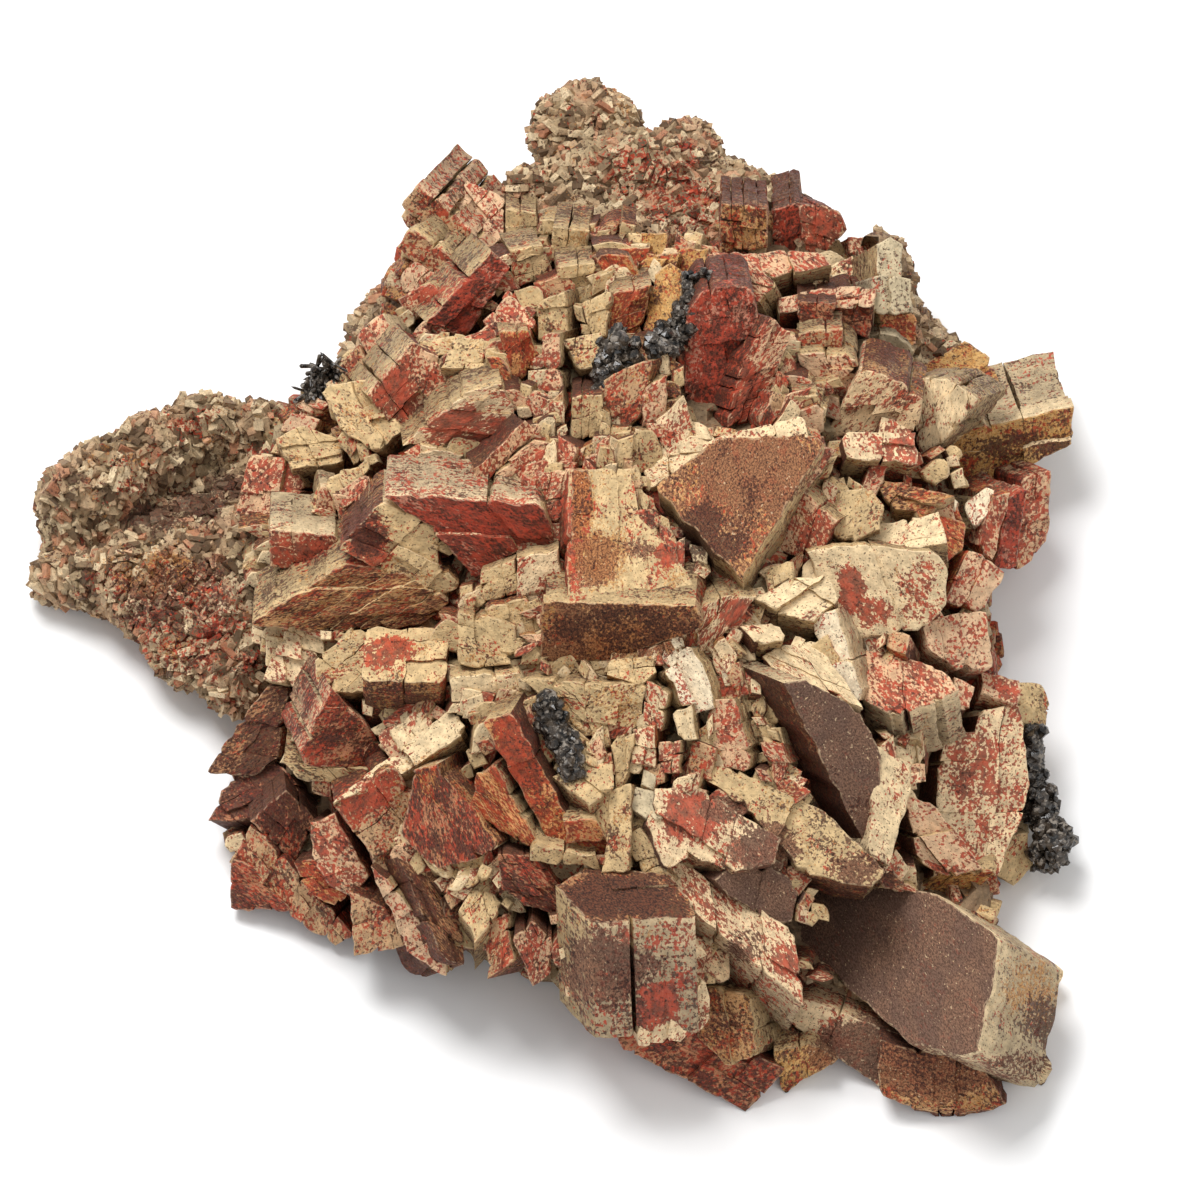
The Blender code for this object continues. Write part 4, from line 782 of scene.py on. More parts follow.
def mixColours(tree, factor, first, second, blend="MIX"):
    return addNode(tree, "ShaderNodeMix", {0: factor, 6: first, 7: second},
                   data_type="RGBA", blend_type=blend).outputs[2]


def mixValues(tree, factor, first, second):
    return addNode(tree, "ShaderNodeMix", {0: factor, 2: first, 3: second}, data_type="FLOAT").outputs[0]


def noiseValue(tree, place, scale, detail=3.0, rough=0.6):
    return addNode(tree, "ShaderNodeTexNoise", {"Vector": place, "Scale": scale, "Detail": detail,
                                                "Roughness": rough}).outputs[0]


def spread(tree, value, low, high, toLow=0.0, toHigh=1.0):
    return addNode(tree, "ShaderNodeMapRange", {0: value, 1: low, 2: high, 3: toLow, 4: toHigh},
                   interpolation_type="SMOOTHSTEP").outputs[0]


def stretch(tree, place, amounts):
    return addNode(tree, "ShaderNodeVectorMath", {0: place, 1: amounts}, operation="MULTIPLY").outputs[0]


def combine(tree, *parts):
    return addNode(tree, "ShaderNodeCombineXYZ", enumerate(parts)).outputs[0]


def attribute(tree, name, output):
    return addNode(tree, "ShaderNodeAttribute", attribute_name=name).outputs[output]


def colour(*rgb):
    return (*linear(rgb), 1.0)


def makeStainMask():
    # Where a stain lies: specks gathered by streaks and blotches, more of them as the amount grows.
    group, given, result = newGroup("stainMask", "ShaderNodeTree", [
        ("Place", "NodeSocketVector", None), ("Streak Place", "NodeSocketVector", None),
        ("Amount", "NodeSocketFloat", 0.5), ("Speck Scale", "NodeSocketFloat", 1.0),
        ("Blotch Scale", "NodeSocketFloat", 0.15), ("Softness", "NodeSocketFloat", 0.02)],
        [("Mask", "NodeSocketFloat")])
    specks = noiseValue(group, given["Place"], given["Speck Scale"], 2.0, 0.6)
    streaks = noiseValue(group, given["Streak Place"], 1.0, 2.0, 0.6)
    blotches = noiseValue(group, given["Place"], given["Blotch Scale"], 1.0, 0.5)
    value = mixValues(group, 0.48, specks, mixValues(group, 0.5, streaks, blotches))
    threshold = calculate(group, "MULTIPLY_ADD", given["Amount"], -0.30, 0.65)
    mask = spread(group, value, calculate(group, "SUBTRACT", threshold, given["Softness"]),
                  calculate(group, "ADD", threshold, given["Softness"]))
    present = spread(group, given["Amount"], 0.0, 0.1)
    group.links.new(calculate(group, "MULTIPLY", mask, present), result["Mask"])


def stainMask(tree, place, streaks, amount, speck, blotch, softness=0.02):
    return addNode(tree, "ShaderNodeGroup", {"Place": place, "Streak Place": streaks, "Amount": amount,
                                             "Speck Scale": speck, "Blotch Scale": blotch, "Softness": softness},
                   node_tree=bpy.data.node_groups["stainMask"]).outputs[0]


def makeIronStains():
    # Ochre, red, brown coat and dark streaks, one over another.
    group, given, result = newGroup("ironStains", "ShaderNodeTree", [
        ("Base", "NodeSocketColor", (0.5, 0.4, 0.3, 1.0)), ("Stain", "NodeSocketColor", (0.0, 0.0, 0.0, 1.0)),
        ("Ochre", "NodeSocketFloat", 0.0), ("Place", "NodeSocketVector", None),
        ("Streak Place", "NodeSocketVector", None)],
        [("Colour", "NodeSocketColor"), ("Coat", "NodeSocketFloat")])
    amounts = addNode(group, "ShaderNodeSeparateColor", {0: given["Stain"]}).outputs
    place, streaks = given["Place"], given["Streak Place"]
    tone = noiseValue(group, place, 0.4, 3.0, 0.65)
    grit = spread(group, noiseValue(group, place, 1.7, 2.0, 0.8), 0.36, 0.64)
    ochre = stainMask(group, place, streaks, given["Ochre"], 1.1, 0.14, 0.04)
    ochreColour = mixColours(group, grit, colour(128, 76, 36), colour(206, 146, 74))
    painted = mixColours(group, calculate(group, "MULTIPLY", ochre, 0.72), given["Base"], ochreColour)
    coat = stainMask(group, place, place, amounts[1], 0.7, 0.11, 0.02)
    warmth = spread(group, noiseValue(group, place, 0.09, 2.0, 0.5), 0.4, 0.6)
    coatDark = mixColours(group, given["Ochre"], colour(72, 47, 38), colour(88, 44, 24))
    coatPale = mixColours(group, given["Ochre"], mixColours(group, warmth, colour(117, 87, 74), colour(138, 101, 81)),
                          colour(192, 128, 74))
    coatColour = mixColours(group, grit, coatDark, coatPale)
    flecks = spread(group, noiseValue(group, place, 1.1, 1.0, 0.5), 0.69, 0.74)
    coatColour = mixColours(group, calculate(group, "MULTIPLY", flecks, 0.7), coatColour, colour(214, 186, 148))
    painted = mixColours(group, calculate(group, "MULTIPLY", coat, 0.95), painted, coatColour)
    red = stainMask(group, place, streaks, amounts[0], 0.95, 0.13, 0.018)
    redColour = mixColours(group, spread(group, tone, 0.38, 0.62), colour(98, 22, 17), colour(178, 50, 28))
    redColour = mixColours(group, calculate(group, "MULTIPLY", grit, 0.28), redColour, colour(196, 92, 54))
    bare = calculate(group, "SUBTRACT", 1.0, calculate(group, "MULTIPLY", coat, 0.8))
    redShare = calculate(group, "MULTIPLY", calculate(group, "MULTIPLY", red, bare), 0.88)
    painted = mixColours(group, redShare, painted, redColour)
    dark = stainMask(group, place, streaks, amounts[2], 1.0, 0.12, 0.03)
    darkColour = mixColours(group, grit, colour(34, 21, 18), colour(98, 54, 36))
    painted = mixColours(group, calculate(group, "MULTIPLY", dark, 0.85), painted, darkColour)
    group.links.new(painted, result["Colour"])
    group.links.new(coat, result["Coat"])


def makeMottle():
    # Uneven body colour with fine dark pits.
    group, given, result = newGroup("mottle", "ShaderNodeTree", [
        ("Base", "NodeSocketColor", (0.5, 0.4, 0.3, 1.0)), ("Place", "NodeSocketVector", None),
        ("Scale", "NodeSocketFloat", 0.6), ("Pits", "NodeSocketFloat", 0.5)],
        [("Colour", "NodeSocketColor"), ("Pit Mask", "NodeSocketFloat")])
    broad = noiseValue(group, given["Place"], given["Scale"], 3.0, 0.65)
    factor = spread(group, broad, 0.3, 0.7, 0.74, 1.16)
    grey = addNode(group, "ShaderNodeCombineColor", {0: factor, 1: factor, 2: factor}).outputs[0]
    mottled = mixColours(group, 1.0, given["Base"], grey, "MULTIPLY")
    fine = noiseValue(group, given["Place"], calculate(group, "MULTIPLY", given["Scale"], 4.5), 2.0, 0.6)
    pits = spread(group, fine, 0.62, 0.67)
    mask = calculate(group, "MULTIPLY", pits, given["Pits"])
    group.links.new(mixColours(group, mask, mottled, colour(74, 48, 34)), result["Colour"])
    group.links.new(mask, result["Pit Mask"])


def makeRelief():
    # Fine height for bump: grain, streaks along the growth and small steps.
    group, given, result = newGroup("fineRelief", "ShaderNodeTree", [
        ("Place", "NodeSocketVector", None), ("Streak Place", "NodeSocketVector", None),
        ("Grain", "NodeSocketFloat", 0.5), ("Streaks", "NodeSocketFloat", 0.5), ("Pit Mask", "NodeSocketFloat", 0.0)],
        [("Height", "NodeSocketFloat")])
    grain = calculate(group, "MULTIPLY", noiseValue(group, given["Place"], 2.2, 3.0, 0.7), given["Grain"])
    streaks = calculate(group, "MULTIPLY", noiseValue(group, given["Streak Place"], 1.1, 2.0, 0.6), given["Streaks"])
    chunks = addNode(group, "ShaderNodeTexVoronoi", {"Vector": given["Streak Place"], "Scale": 0.42},
                     distance="CHEBYCHEV").outputs["Color"]
    stepped = calculate(group, "MULTIPLY", addNode(group, "ShaderNodeSeparateColor", {0: chunks}).outputs[0], 0.35)
    height = calculate(group, "ADD", calculate(group, "ADD", grain, streaks), stepped)
    group.links.new(calculate(group, "SUBTRACT", height, given["Pit Mask"]), result["Height"])


def useGroup(tree, name, links):
    return addNode(tree, "ShaderNodeGroup", links, node_tree=bpy.data.node_groups[name]).outputs


def newMaterial(name):
    material = bpy.data.materials.new(name)
    material.use_nodes = True
    return material, material.node_tree, material.node_tree.nodes["Principled BSDF"]


def stainLinks(tree, body, place, streakPlace):
    return {"Base": body, "Stain": attribute(tree, "stain", "Color"), "Ochre": attribute(tree, "stain", "Alpha"),
            "Place": place, "Streak Place": streakPlace}


def connectSurface(tree, shader, painted, rough, height, look):
    tree.links.new(painted, shader.inputs["Base Color"])
    tree.links.new(rough, shader.inputs["Roughness"])
    bump = addNode(tree, "ShaderNodeBump", {"Strength": look["bump"], "Distance": look["bumpDepth"], "Height": height})
    tree.links.new(bump.outputs[0], shader.inputs["Normal"])
    shader.inputs["Specular IOR Level"].default_value = look["specular"]


def makeMicroclineFinish():
    look = {"roughness": (0.50, 0.82), "coatRoughness": 0.88, "bumpDepth": 0.0006, "bump": 0.75, "specular": 0.35,
            "edgeStrength": 0.45, "pits": 0.85}
    material, tree, shader = newMaterial("microclineFinish")
    place = stretch(tree, attribute(tree, "growthPlace", "Vector"), (1000.0, 1000.0, 1000.0))
    streakPlace = stretch(tree, place, (0.10, 0.16, 1.15))
    tint, worn = attribute(tree, "tint", "Color"), attribute(tree, "edgeWear", "Fac")
    body = useGroup(tree, "mottle", {"Base": tint, "Place": place, "Scale": 0.36, "Pits": look["pits"]})
    stains = useGroup(tree, "ironStains", stainLinks(tree, body["Colour"], place, streakPlace))
    paleEdge = mixColours(tree, 0.55, tint, colour(226, 204, 168))
    wearNoise = noiseValue(tree, place, 0.55, 2.0, 0.7)
    wear = spread(tree, calculate(tree, "MULTIPLY", worn, wearNoise), 0.42, 0.60)
    painted = mixColours(tree, calculate(tree, "MULTIPLY", wear, look["edgeStrength"]), stains["Colour"], paleEdge)
    rough = spread(tree, noiseValue(tree, place, 0.9, 1.0), 0.3, 0.7, *look["roughness"])
    rough = mixValues(tree, stains["Coat"], rough, look["coatRoughness"])
    growth = stretch(tree, place, (0.3, 0.5, 1.3))
    height = useGroup(tree, "fineRelief", {"Place": place, "Streak Place": growth, "Grain": 0.8, "Streaks": 1.1,
                                           "Pit Mask": body["Pit Mask"]})["Height"]
    connectSurface(tree, shader, painted, rough, height, look)
    return material


def makeRockFinish():
    look = {"roughness": (0.62, 0.9), "bumpDepth": 0.0005, "bump": 0.7, "specular": 0.3, "pits": 0.6}
    material, tree, shader = newMaterial("matrixFinish")
    place = stretch(tree, addNode(tree, "ShaderNodeTexCoord").outputs["Object"], (1000.0, 1000.0, 1000.0))
    streakPlace = stretch(tree, place, (0.7, 1.3, 1.0))
    tone = attribute(tree, "grainTone", "Fac")
    broad = spread(tree, noiseValue(tree, place, 0.07, 3.0, 0.6), 0.35, 0.65)
    base = mixColours(tree, broad, colour(170, 147, 113), colour(182, 149, 116))
    base = mixColours(tree, spread(tree, tone, 0.5, 1.0), base, colour(214, 191, 154))
    base = mixColours(tree, spread(tree, tone, 0.45, 0.0), base, colour(96, 75, 54))
    lot = calculate(tree, "FRACT", calculate(tree, "MULTIPLY", tone, 7.3))
    rusty = calculate(tree, "MULTIPLY", spread(tree, lot, 0.84, 0.90), 0.6)
    base = mixColours(tree, rusty, base, colour(184, 116, 84))
    body = useGroup(tree, "mottle", {"Base": base, "Place": place, "Scale": 0.6, "Pits": look["pits"]})
    stainPlace = stretch(tree, place, (0.2, 0.3, 0.3))
    stains = useGroup(tree, "ironStains", stainLinks(tree, body["Colour"], place, stainPlace))
    rough = spread(tree, noiseValue(tree, place, 1.2), 0.3, 0.7, *look["roughness"])
    height = useGroup(tree, "fineRelief", {"Place": place, "Streak Place": streakPlace, "Grain": 0.8, "Streaks": 0.5,
                                           "Pit Mask": body["Pit Mask"]})["Height"]
    connectSurface(tree, shader, stains["Colour"], rough, height, look)
    return material


def makeQuartzFinish():
    look = {"roughness": (0.08, 0.34), "bumpDepth": 0.0003, "bump": 0.5, "specular": 0.5, "dust": 0.30}
    material, tree, shader = newMaterial("smokyQuartzFinish")
    place = stretch(tree, addNode(tree, "ShaderNodeTexCoord").outputs["Object"], (1000.0, 1000.0, 1000.0))
    cloud = spread(tree, noiseValue(tree, place, 0.4, 3.0, 0.6), 0.35, 0.7)
    glass = mixColours(tree, cloud, colour(14, 13, 13), colour(78, 68, 58))
    dust = stainMask(tree, place, place, look["dust"], 0.7, 0.3, 0.03)
    painted = mixColours(tree, calculate(tree, "MULTIPLY", dust, 0.7), glass, colour(150, 140, 128))
    rough = mixValues(tree, dust, spread(tree, noiseValue(tree, place, 0.8), 0.3, 0.7, *look["roughness"]), 0.8)
    height = useGroup(tree, "fineRelief", {"Place": place, "Streak Place": place, "Grain": 0.25,
                                           "Streaks": 0.4})["Height"]
    connectSurface(tree, shader, painted, rough, height, look)
    return material


baseLumps = [(8, -12, 0, 104, 116, 50), (75, -92, 4, 44, 54, 24), (-56, -56, 4, 46, 48, 24),
             (80, 40, 6, 42, 62, 32), (-38, 66, 6, 42, 50, 32), (16, 108, 6, 58, 44, 32)]
armLumps = [(-128, 21, 5, 24, 13, 13), (-112, 26, 9, 14, 11, 14), (-156, 17, 11, 13, 9, 14), (-161, 10, 8, 8, 8, 10),
            (-160, 23, 20, 10, 9, 18), (-149, 27, 20, 13, 14, 19), (-135, 38, 20, 13, 11, 19),
            (-120, 46, 20, 14, 10, 18), (-105, 45, 20, 14, 9, 15), (-162, 1, 10, 10, 7, 10),
            (-151, -2, 14, 12, 9, 13), (-138, -2, 15, 14, 18, 15), (-124, -6, 15, 17, 32, 16),
            (-110, -10, 16, 16, 38, 17), (-90, 12, 14, 24, 36, 22), (-132, 22, 2, 20, 14, 9)]
lobeLumps = [(-4, 154, 18, 17, 15, 18), (-7, 142, 16, 11, 12, 14), (12, 135, 22, 25, 13, 20),
             (27, 145, 18, 11, 11, 17), (-22, 130, 17, 9, 9, 16)]
tanRockLumps = [(84, 96, 24, 11, 13, 25), (88, 76, 26, 10, 18, 24)]
shoulders = [(-40, 88, 22, 24, 28, 26), (50, 97, 20, 26, 22, 23), (100, 40, 14, 22, 24, 18),
             (-78, 32, 20, 26, 26, 22), (90, -112, 14, 27, 34, 16), (26, -118, 12, 28, 30, 16),
             (-78, -66, 14, 28, 30, 18)]
rockLook = {"voxel": 2.6, "shrink": 0.9, "bump": 1.6, "coreVoxel": 3.4, "coreBump": 1.8, "mostSunk": 24.0,
            "tanArea": (88, 86, 16, 36), "tanGrains": 0.5,
            "bareFrom": 0.72, "bareRise": 6.0}
grainLook = {"seed": 5, "corners": 8, "faces": 12, "spacing": 1.75, "smallest": (1.5, 1.1, 1.4),
             "largest": (5.2, 2.6, 4.0), "turn": 0.7}
crumbLook = {"seed": 8, "corners": 24, "faces": 44, "spacing": 4.2, "smallest": (3.5, 2.8, 4.0),
             "largest": (8.5, 6.0, 8.0), "turn": 0.45,
             "finishes": ("cream", "speckled", "tan", "tan", "tanRed", "red", "orange", "brown", "pink", "darkRed")}
mostTriangles = 190000


def bareness(point):
    # How thickly grains lie on the rock: none deep inside the mound of crystals.
    reach = sum(((point[axis] / mm - (*mound["centre"], 0.0)[axis]) / mound["half"][axis]) ** 2 for axis in range(3))
    return min(1.0, max(0.0, (math.sqrt(reach) - rockLook["bareFrom"]) * rockLook["bareRise"]))


def fuseLumps(name, lumps, shrink, voxel, bump, ground):
    bm = bmesh.new()
    for x, y, z, *half in lumps:
        size = Matrix.Diagonal([max(3.0, side - shrink) * mm for side in half] + [1.0])
        place = Matrix.Translation(Vector((x, y, z)) * mm)
        bmesh.ops.create_icosphere(bm, subdivisions=4, radius=1.0, matrix=place @ size)
    mesh = bpy.data.meshes.new(name)
    bm.to_mesh(mesh)
    bm.free()
    lump = newObject(name, mesh)
    fuse = lump.modifiers.new("Fuse", "REMESH")
    fuse.mode = "VOXEL"
    fuse.voxel_size = voxel * mm
    fused = bpy.data.meshes.new_from_object(lump.evaluated_get(bpy.context.evaluated_depsgraph_get()))
    bpy.data.objects.remove(lump, do_unlink=True)
    bm = bmesh.new()
    bm.from_mesh(fused)
    for vertex in bm.verts:
        place = vertex.co / mm
        swell = noise.noise(place * 0.05) + 0.6 * noise.noise(place * 0.12) + 0.5 * noise.cell(place * 0.25)
        vertex.co += vertex.normal * swell * bump * mm
    plane = Vector((0.0, 0.0, ground * mm))
    geometry = bm.verts[:] + bm.edges[:] + bm.faces[:]
    cut = bmesh.ops.bisect_plane(bm, geom=geometry, plane_co=plane, plane_no=(0, 0, -1), clear_outer=True)
    rim = [part for part in cut["geom_cut"] if isinstance(part, bmesh.types.BMEdge)]
    bmesh.ops.holes_fill(bm, edges=rim, sides=0)
    bmesh.ops.triangulate(bm, faces=[face for face in bm.faces if len(face.verts) > 4])
    bmesh.ops.recalc_face_normals(bm, faces=bm.faces)
    bm.to_mesh(fused)
    bm.free()
    fused.name = name
    return newObject(name, fused)


def sinkBehind(mesh, caps):
    # Keeps the rock inside the CAD box and behind the large crystals.
    points = meshPoints(mesh) / mm
    shown = points @ showAxes.T
    near = readMap(caps, shown[:, :2])
    over = shown[:, 2] - near + 3.0
    over = np.where((near > farBehind) & (over < rockLook["mostSunk"]), np.maximum(0.0, over), 0.0)
    points = np.clip(points - over[:, None] * viewer, lowest * (1.0, 1.0, 0.0), highest)
    mesh.vertices.foreach_set("co", (points * mm).astype(np.float32).ravel())
    mesh.update()


def meshPoints(mesh):
    points = np.empty(len(mesh.vertices) * 3, np.float32)
    mesh.vertices.foreach_get("co", points)
    return points.reshape(-1, 3)


def makeScatter():
    # Grains over a surface: spacing, size and turn are its inputs.
    group, given, result = newGroup("scatterGrains", "GeometryNodeTree", [
        ("Surface", "NodeSocketGeometry", None), ("Grain", "NodeSocketObject", None),
        ("Finish", "NodeSocketMaterial", None), ("Spacing", "NodeSocketFloat", 0.003),
        ("Smallest", "NodeSocketVector", (0.002, 0.002, 0.002)), ("Largest", "NodeSocketVector", (0.005, 0.005, 0.005)),
        ("Turn", "NodeSocketFloat", 0.5), ("Seed", "NodeSocketInt", 1)], [("Grains", "NodeSocketGeometry")])
    bare = addNode(group, "GeometryNodeInputNamedAttribute", {"Name": "bare"}, data_type="FLOAT").outputs["Attribute"]
    density = calculate(group, "DIVIDE", 1.3, calculate(group, "POWER", given["Spacing"], 2.0))
    spots = addNode(group, "GeometryNodeDistributePointsOnFaces", {
        "Mesh": given["Surface"], "Distance Min": given["Spacing"], "Density Max": density, "Density Factor": bare,
        "Seed": given["Seed"]}, distribute_method="POISSON")
    size = addNode(group, "FunctionNodeRandomValue", {0: given["Smallest"], 1: given["Largest"], 8: given["Seed"]},
                   data_type="FLOAT_VECTOR").outputs[0]
    back = calculate(group, "MULTIPLY", given["Turn"], -1.0)
    turn = addNode(group, "FunctionNodeRandomValue", {
        0: combine(group, back, back, -0.5), 1: combine(group, given["Turn"], given["Turn"], 0.5), 8: 3},
        data_type="FLOAT_VECTOR").outputs[0]
    flow = addNode(group, "ShaderNodeTexNoise", {"Vector": addNode(group, "GeometryNodeInputPosition").outputs[0],
                                                 "Scale": 22.0, "Detail": 1.0}).outputs[0]
    swirl = combine(group, 0.0, 0.0, calculate(group, "MULTIPLY", flow, 9.0))
    angles = addNode(group, "ShaderNodeVectorMath", {0: turn, 1: swirl}, operation="ADD").outputs[0]
    facing = addNode(group, "FunctionNodeRotateRotation", {0: spots.outputs["Rotation"], 1: angles},
                     rotation_space="LOCAL").outputs[0]
    grain = addNode(group, "GeometryNodeObjectInfo", {"Object": given["Grain"]}).outputs["Geometry"]
    placed = addNode(group, "GeometryNodeInstanceOnPoints", {"Points": spots.outputs["Points"], "Instance": grain,
                                                             "Rotation": facing, "Scale": size}).outputs[0]
    tone = addNode(group, "FunctionNodeRandomValue", {2: 0.0, 3: 1.0, 8: 5}, data_type="FLOAT").outputs[1]
    toned = addNode(group, "GeometryNodeStoreNamedAttribute", {
        "Geometry": placed, "Name": "grainTone", "Value": tone}, data_type="FLOAT", domain="INSTANCE").outputs[0]
    real = addNode(group, "GeometryNodeRealizeInstances", {0: toned}).outputs[0]
    painted = addNode(group, "GeometryNodeSetMaterial", {"Geometry": real, "Material": given["Finish"]}).outputs[0]
    group.links.new(painted, result["Grains"])


def makeGrain(name, seed, uneven, cut):
    # A unit block with uneven corners and, where it is large enough to show, cut edges.
    rng = random.Random(seed)
    bm = bmesh.new()
    bmesh.ops.create_cube(bm, size=1.0)
    for vertex in bm.verts:
        vertex.co += Vector([rng.uniform(-uneven, uneven) for _ in range(3)])
    if cut > 0.0:
        bmesh.ops.bevel(bm, geom=bm.edges[:], offset=cut, segments=1, affect="EDGES")
    mesh = bpy.data.meshes.new(name)
    bm.to_mesh(mesh)
    bm.free()
    return newObject(name, mesh)


def scatterOver(surface, name, look, grain, material):
    group = bpy.data.node_groups["scatterGrains"]
    scatter = surface.modifiers.new("Scatter", "NODES")
    scatter.node_group = group
    wanted = {"Grain": grain, "Finish": material, "Spacing": look["spacing"] * mm,
              "Smallest": [side * mm for side in look["smallest"]],
              "Largest": [side * mm for side in look["largest"]],
              "Turn": look["turn"], "Seed": look["seed"]}
    for socket in group.interface.items_tree:
        if socket.in_out == "INPUT" and socket.name in wanted:
            scatter[socket.identifier] = wanted[socket.name]
    surface.update_tag()
    graph = bpy.context.evaluated_depsgraph_get()
    mesh = bpy.data.meshes.new_from_object(surface.evaluated_get(graph))
    surface.modifiers.remove(scatter)
    mesh.name = name
    return mesh


def dressRock(mesh, patches):
    points = meshPoints(mesh) / mm
    stain = np.maximum(patchStrength(points @ showAxes.T, patches), (0.14, 0.0, 0.26, 0.14))
    colourAttribute(mesh, "stain", "POINT", stain)


def keepGrains(mesh, name, keep, corners):
    bm = bmesh.new()
    bm.from_mesh(mesh)
    bm.verts.ensure_lookup_table()
    away = [bm.verts[i] for i in np.flatnonzero(~np.repeat(keep, corners))]
    bmesh.ops.delete(bm, geom=away, context="VERTS")
    kept = bpy.data.meshes.new(name)
    bm.to_mesh(kept)
    bm.free()
    return kept


def grainsInView(mesh, caps, corners):
    # True for the grains that would stand in front of a large crystal.
    shown = meshPoints(mesh) / mm @ showAxes.T
    near = readMap(caps, shown[:, :2])
    hides = (shown[:, 2] > near - 0.8) & (near > farBehind)
    return hides.reshape(-1, corners).any(axis=1)


def dressCrumbs(mesh, seed):
    # Each crumb takes one crystal finish, and its pattern a place of its own.
    rng = random.Random(seed)
    corners = crumbLook["corners"]
    points = meshPoints(mesh) / mm
    words = [rng.choice(crumbLook["finishes"]) for _ in range(len(points) // corners)]
    tint = np.array([(*linear(finishes[word][0]), 1.0) for word in words])
    shown = points[::corners] @ showAxes.T
    # Painted shade: crumbs sunk deeper below the mound get a darker tint.
    sunk = np.clip([(domeDepth(x, u) - depth) / 12.0 for x, u, depth in shown], 0.0, 1.0)
    tint[:, :3] *= (np.array([rng.uniform(0.88, 1.06) for _ in words]) * (1.0 - 0.4 * sunk))[:, None]
    stain = np.array([finishes[word][1:] for word in words])
    added = patchStrength(points @ showAxes.T, stainPatches)
    colourAttribute(mesh, "tint", "POINT", np.repeat(tint, corners, axis=0))
    colourAttribute(mesh, "stain", "POINT", np.clip(np.repeat(stain, corners, axis=0) + added, 0.0, 1.0))
    shift = np.array([[rng.uniform(0.0, 400.0) for _ in range(3)] for _ in words])
    vectorAttribute(mesh, "growthPlace", (points + np.repeat(shift, corners, axis=0)) * mm)
    floatAttribute(mesh, "edgeWear", np.full(len(points), 0.35))


def scatterPieces(surface, name, look, grain, material, caps, slotName, *nodes):
    corners = look["corners"]
    mesh = scatterOver(surface, name, look, grain, material)
    mesh = keepGrains(mesh, name, ~grainsInView(mesh, caps, corners), corners)
    grains = len(mesh.vertices) // corners
    pieces = math.ceil(grains * look["faces"] / mostTriangles)
    order = np.arange(grains)
    for index in range(pieces):
        kept = (order >= grains * index // pieces) & (order < grains * (index + 1) // pieces)
        part = keepGrains(mesh, name, kept, corners)
        part.vertices.foreach_set("co", np.clip(meshPoints(part), lowest * mm, highest * mm).ravel())
        if slotName == "microcline":
            dressCrumbs(part, index)
        else:
            dressRock(part, rockPatches)
        smoothWithSharpEdges(part, 20.0)
        finishPiece(newObject(f"{name}_{index + 1}", part), material, slotName, *nodes)


def buildRock(material, crumbMaterial, caps):
    grain, crumb = makeGrain("grain", 4, 0.17, 0.0), makeGrain("crumb", 6, 0.1, 0.09)
    makeScatter()
    rock = fuseLumps("matrix_rock", baseLumps + armLumps + lobeLumps + tanRockLumps, rockLook["shrink"],
                     rockLook["voxel"], rockLook["bump"], 0.0)
    sinkBehind(rock.data, caps)
    points = meshPoints(rock.data)
    bare = np.array([bareness(point) for point in points])
    tanX, tanY, halfX, halfY = rockLook["tanArea"]
    tanRock = np.array([((p[0] / mm - tanX) / halfX) ** 2 + ((p[1] / mm - tanY) / halfY) ** 2 < 1.0 for p in points])
    bare[points[:, 2] < 1.5 * mm] = 0.0
    bare[tanRock] *= rockLook["tanGrains"]
    floatAttribute(rock.data, "bare", bare)
    floatAttribute(rock.data, "grainTone", np.full(len(points), 0.25))
    scatterPieces(rock, "matrix_grains", grainLook, grain, material, caps, "matrix", "matrix")
    dressRock(rock.data, rockPatches)
    smoothWithSharpEdges(rock.data, 40.0)
    finishPiece(rock, material, "matrix", "matrix")
    core = fuseLumps("crystal_core", [(*mound["coreCentre"], *mound["coreHalf"]), *shoulders], 0.0,
                     rockLook["coreVoxel"], rockLook["coreBump"], 2.0)
    sinkBehind(core.data, caps)
    points = meshPoints(core.data)
    floatAttribute(core.data, "bare", np.where(points[:, 2] < 5 * mm, 0.0, 1.0))
    floatAttribute(core.data, "grainTone", np.full(len(points), 0.2))
    scatterPieces(core, "crystal_crumbs", crumbLook, crumb, crumbMaterial, caps, "microcline", "microcline_crystals")
    dressRock(core.data, stainPatches)
    finishPiece(core, material, "microcline", "microcline_crystals")
    bpy.data.objects.remove(grain, do_unlink=True)
    bpy.data.objects.remove(crumb, do_unlink=True)


# Each shaft of a tuft: X, U and lift of its middle, facing, lean, length and radius.
quartzTufts = {
    "smoky_quartz_vein": [(3, 72, 4, 80, 95, 20, 4.6), (11, 74, 4, 14, 92, 24, 4.4),
                          (21, 79, 4, 42, 102, 24, 4.6), (27, 88, 6, 74, 105, 24, 4.8)],
    "smoky_quartz_right": [(134, -66, 2, -60, 75, 20, 6.6), (135, -74, 2, -100, 75, 13, 6.2),
                           (129, -46, 3, 80, 75, 18, 3.2), (131, -55, 2, 110, 75, 14, 3.2)],
    "smoky_quartz_centre": [(-14, -35, 4, 110, 70, 14, 2.8), (-12, -41, 4, -60, 70, 16, 3.2),
                            (-9, -46, 4, -80, 70, 11, 2.8)],
    "smoky_quartz_left": [(-84, 66, 2, 120, 60, 15, 2.4), (-82, 66, 2, 75, 55, 15, 2.3),
                          (-84, 64, 2, 200, 50, 14, 2.5)],
}
shardLook = {"seed": 21, "perCrystal": 85, "radius": (0.9, 2.4), "length": (1.8, 4.2), "needleRadius": (0.4, 0.9)}


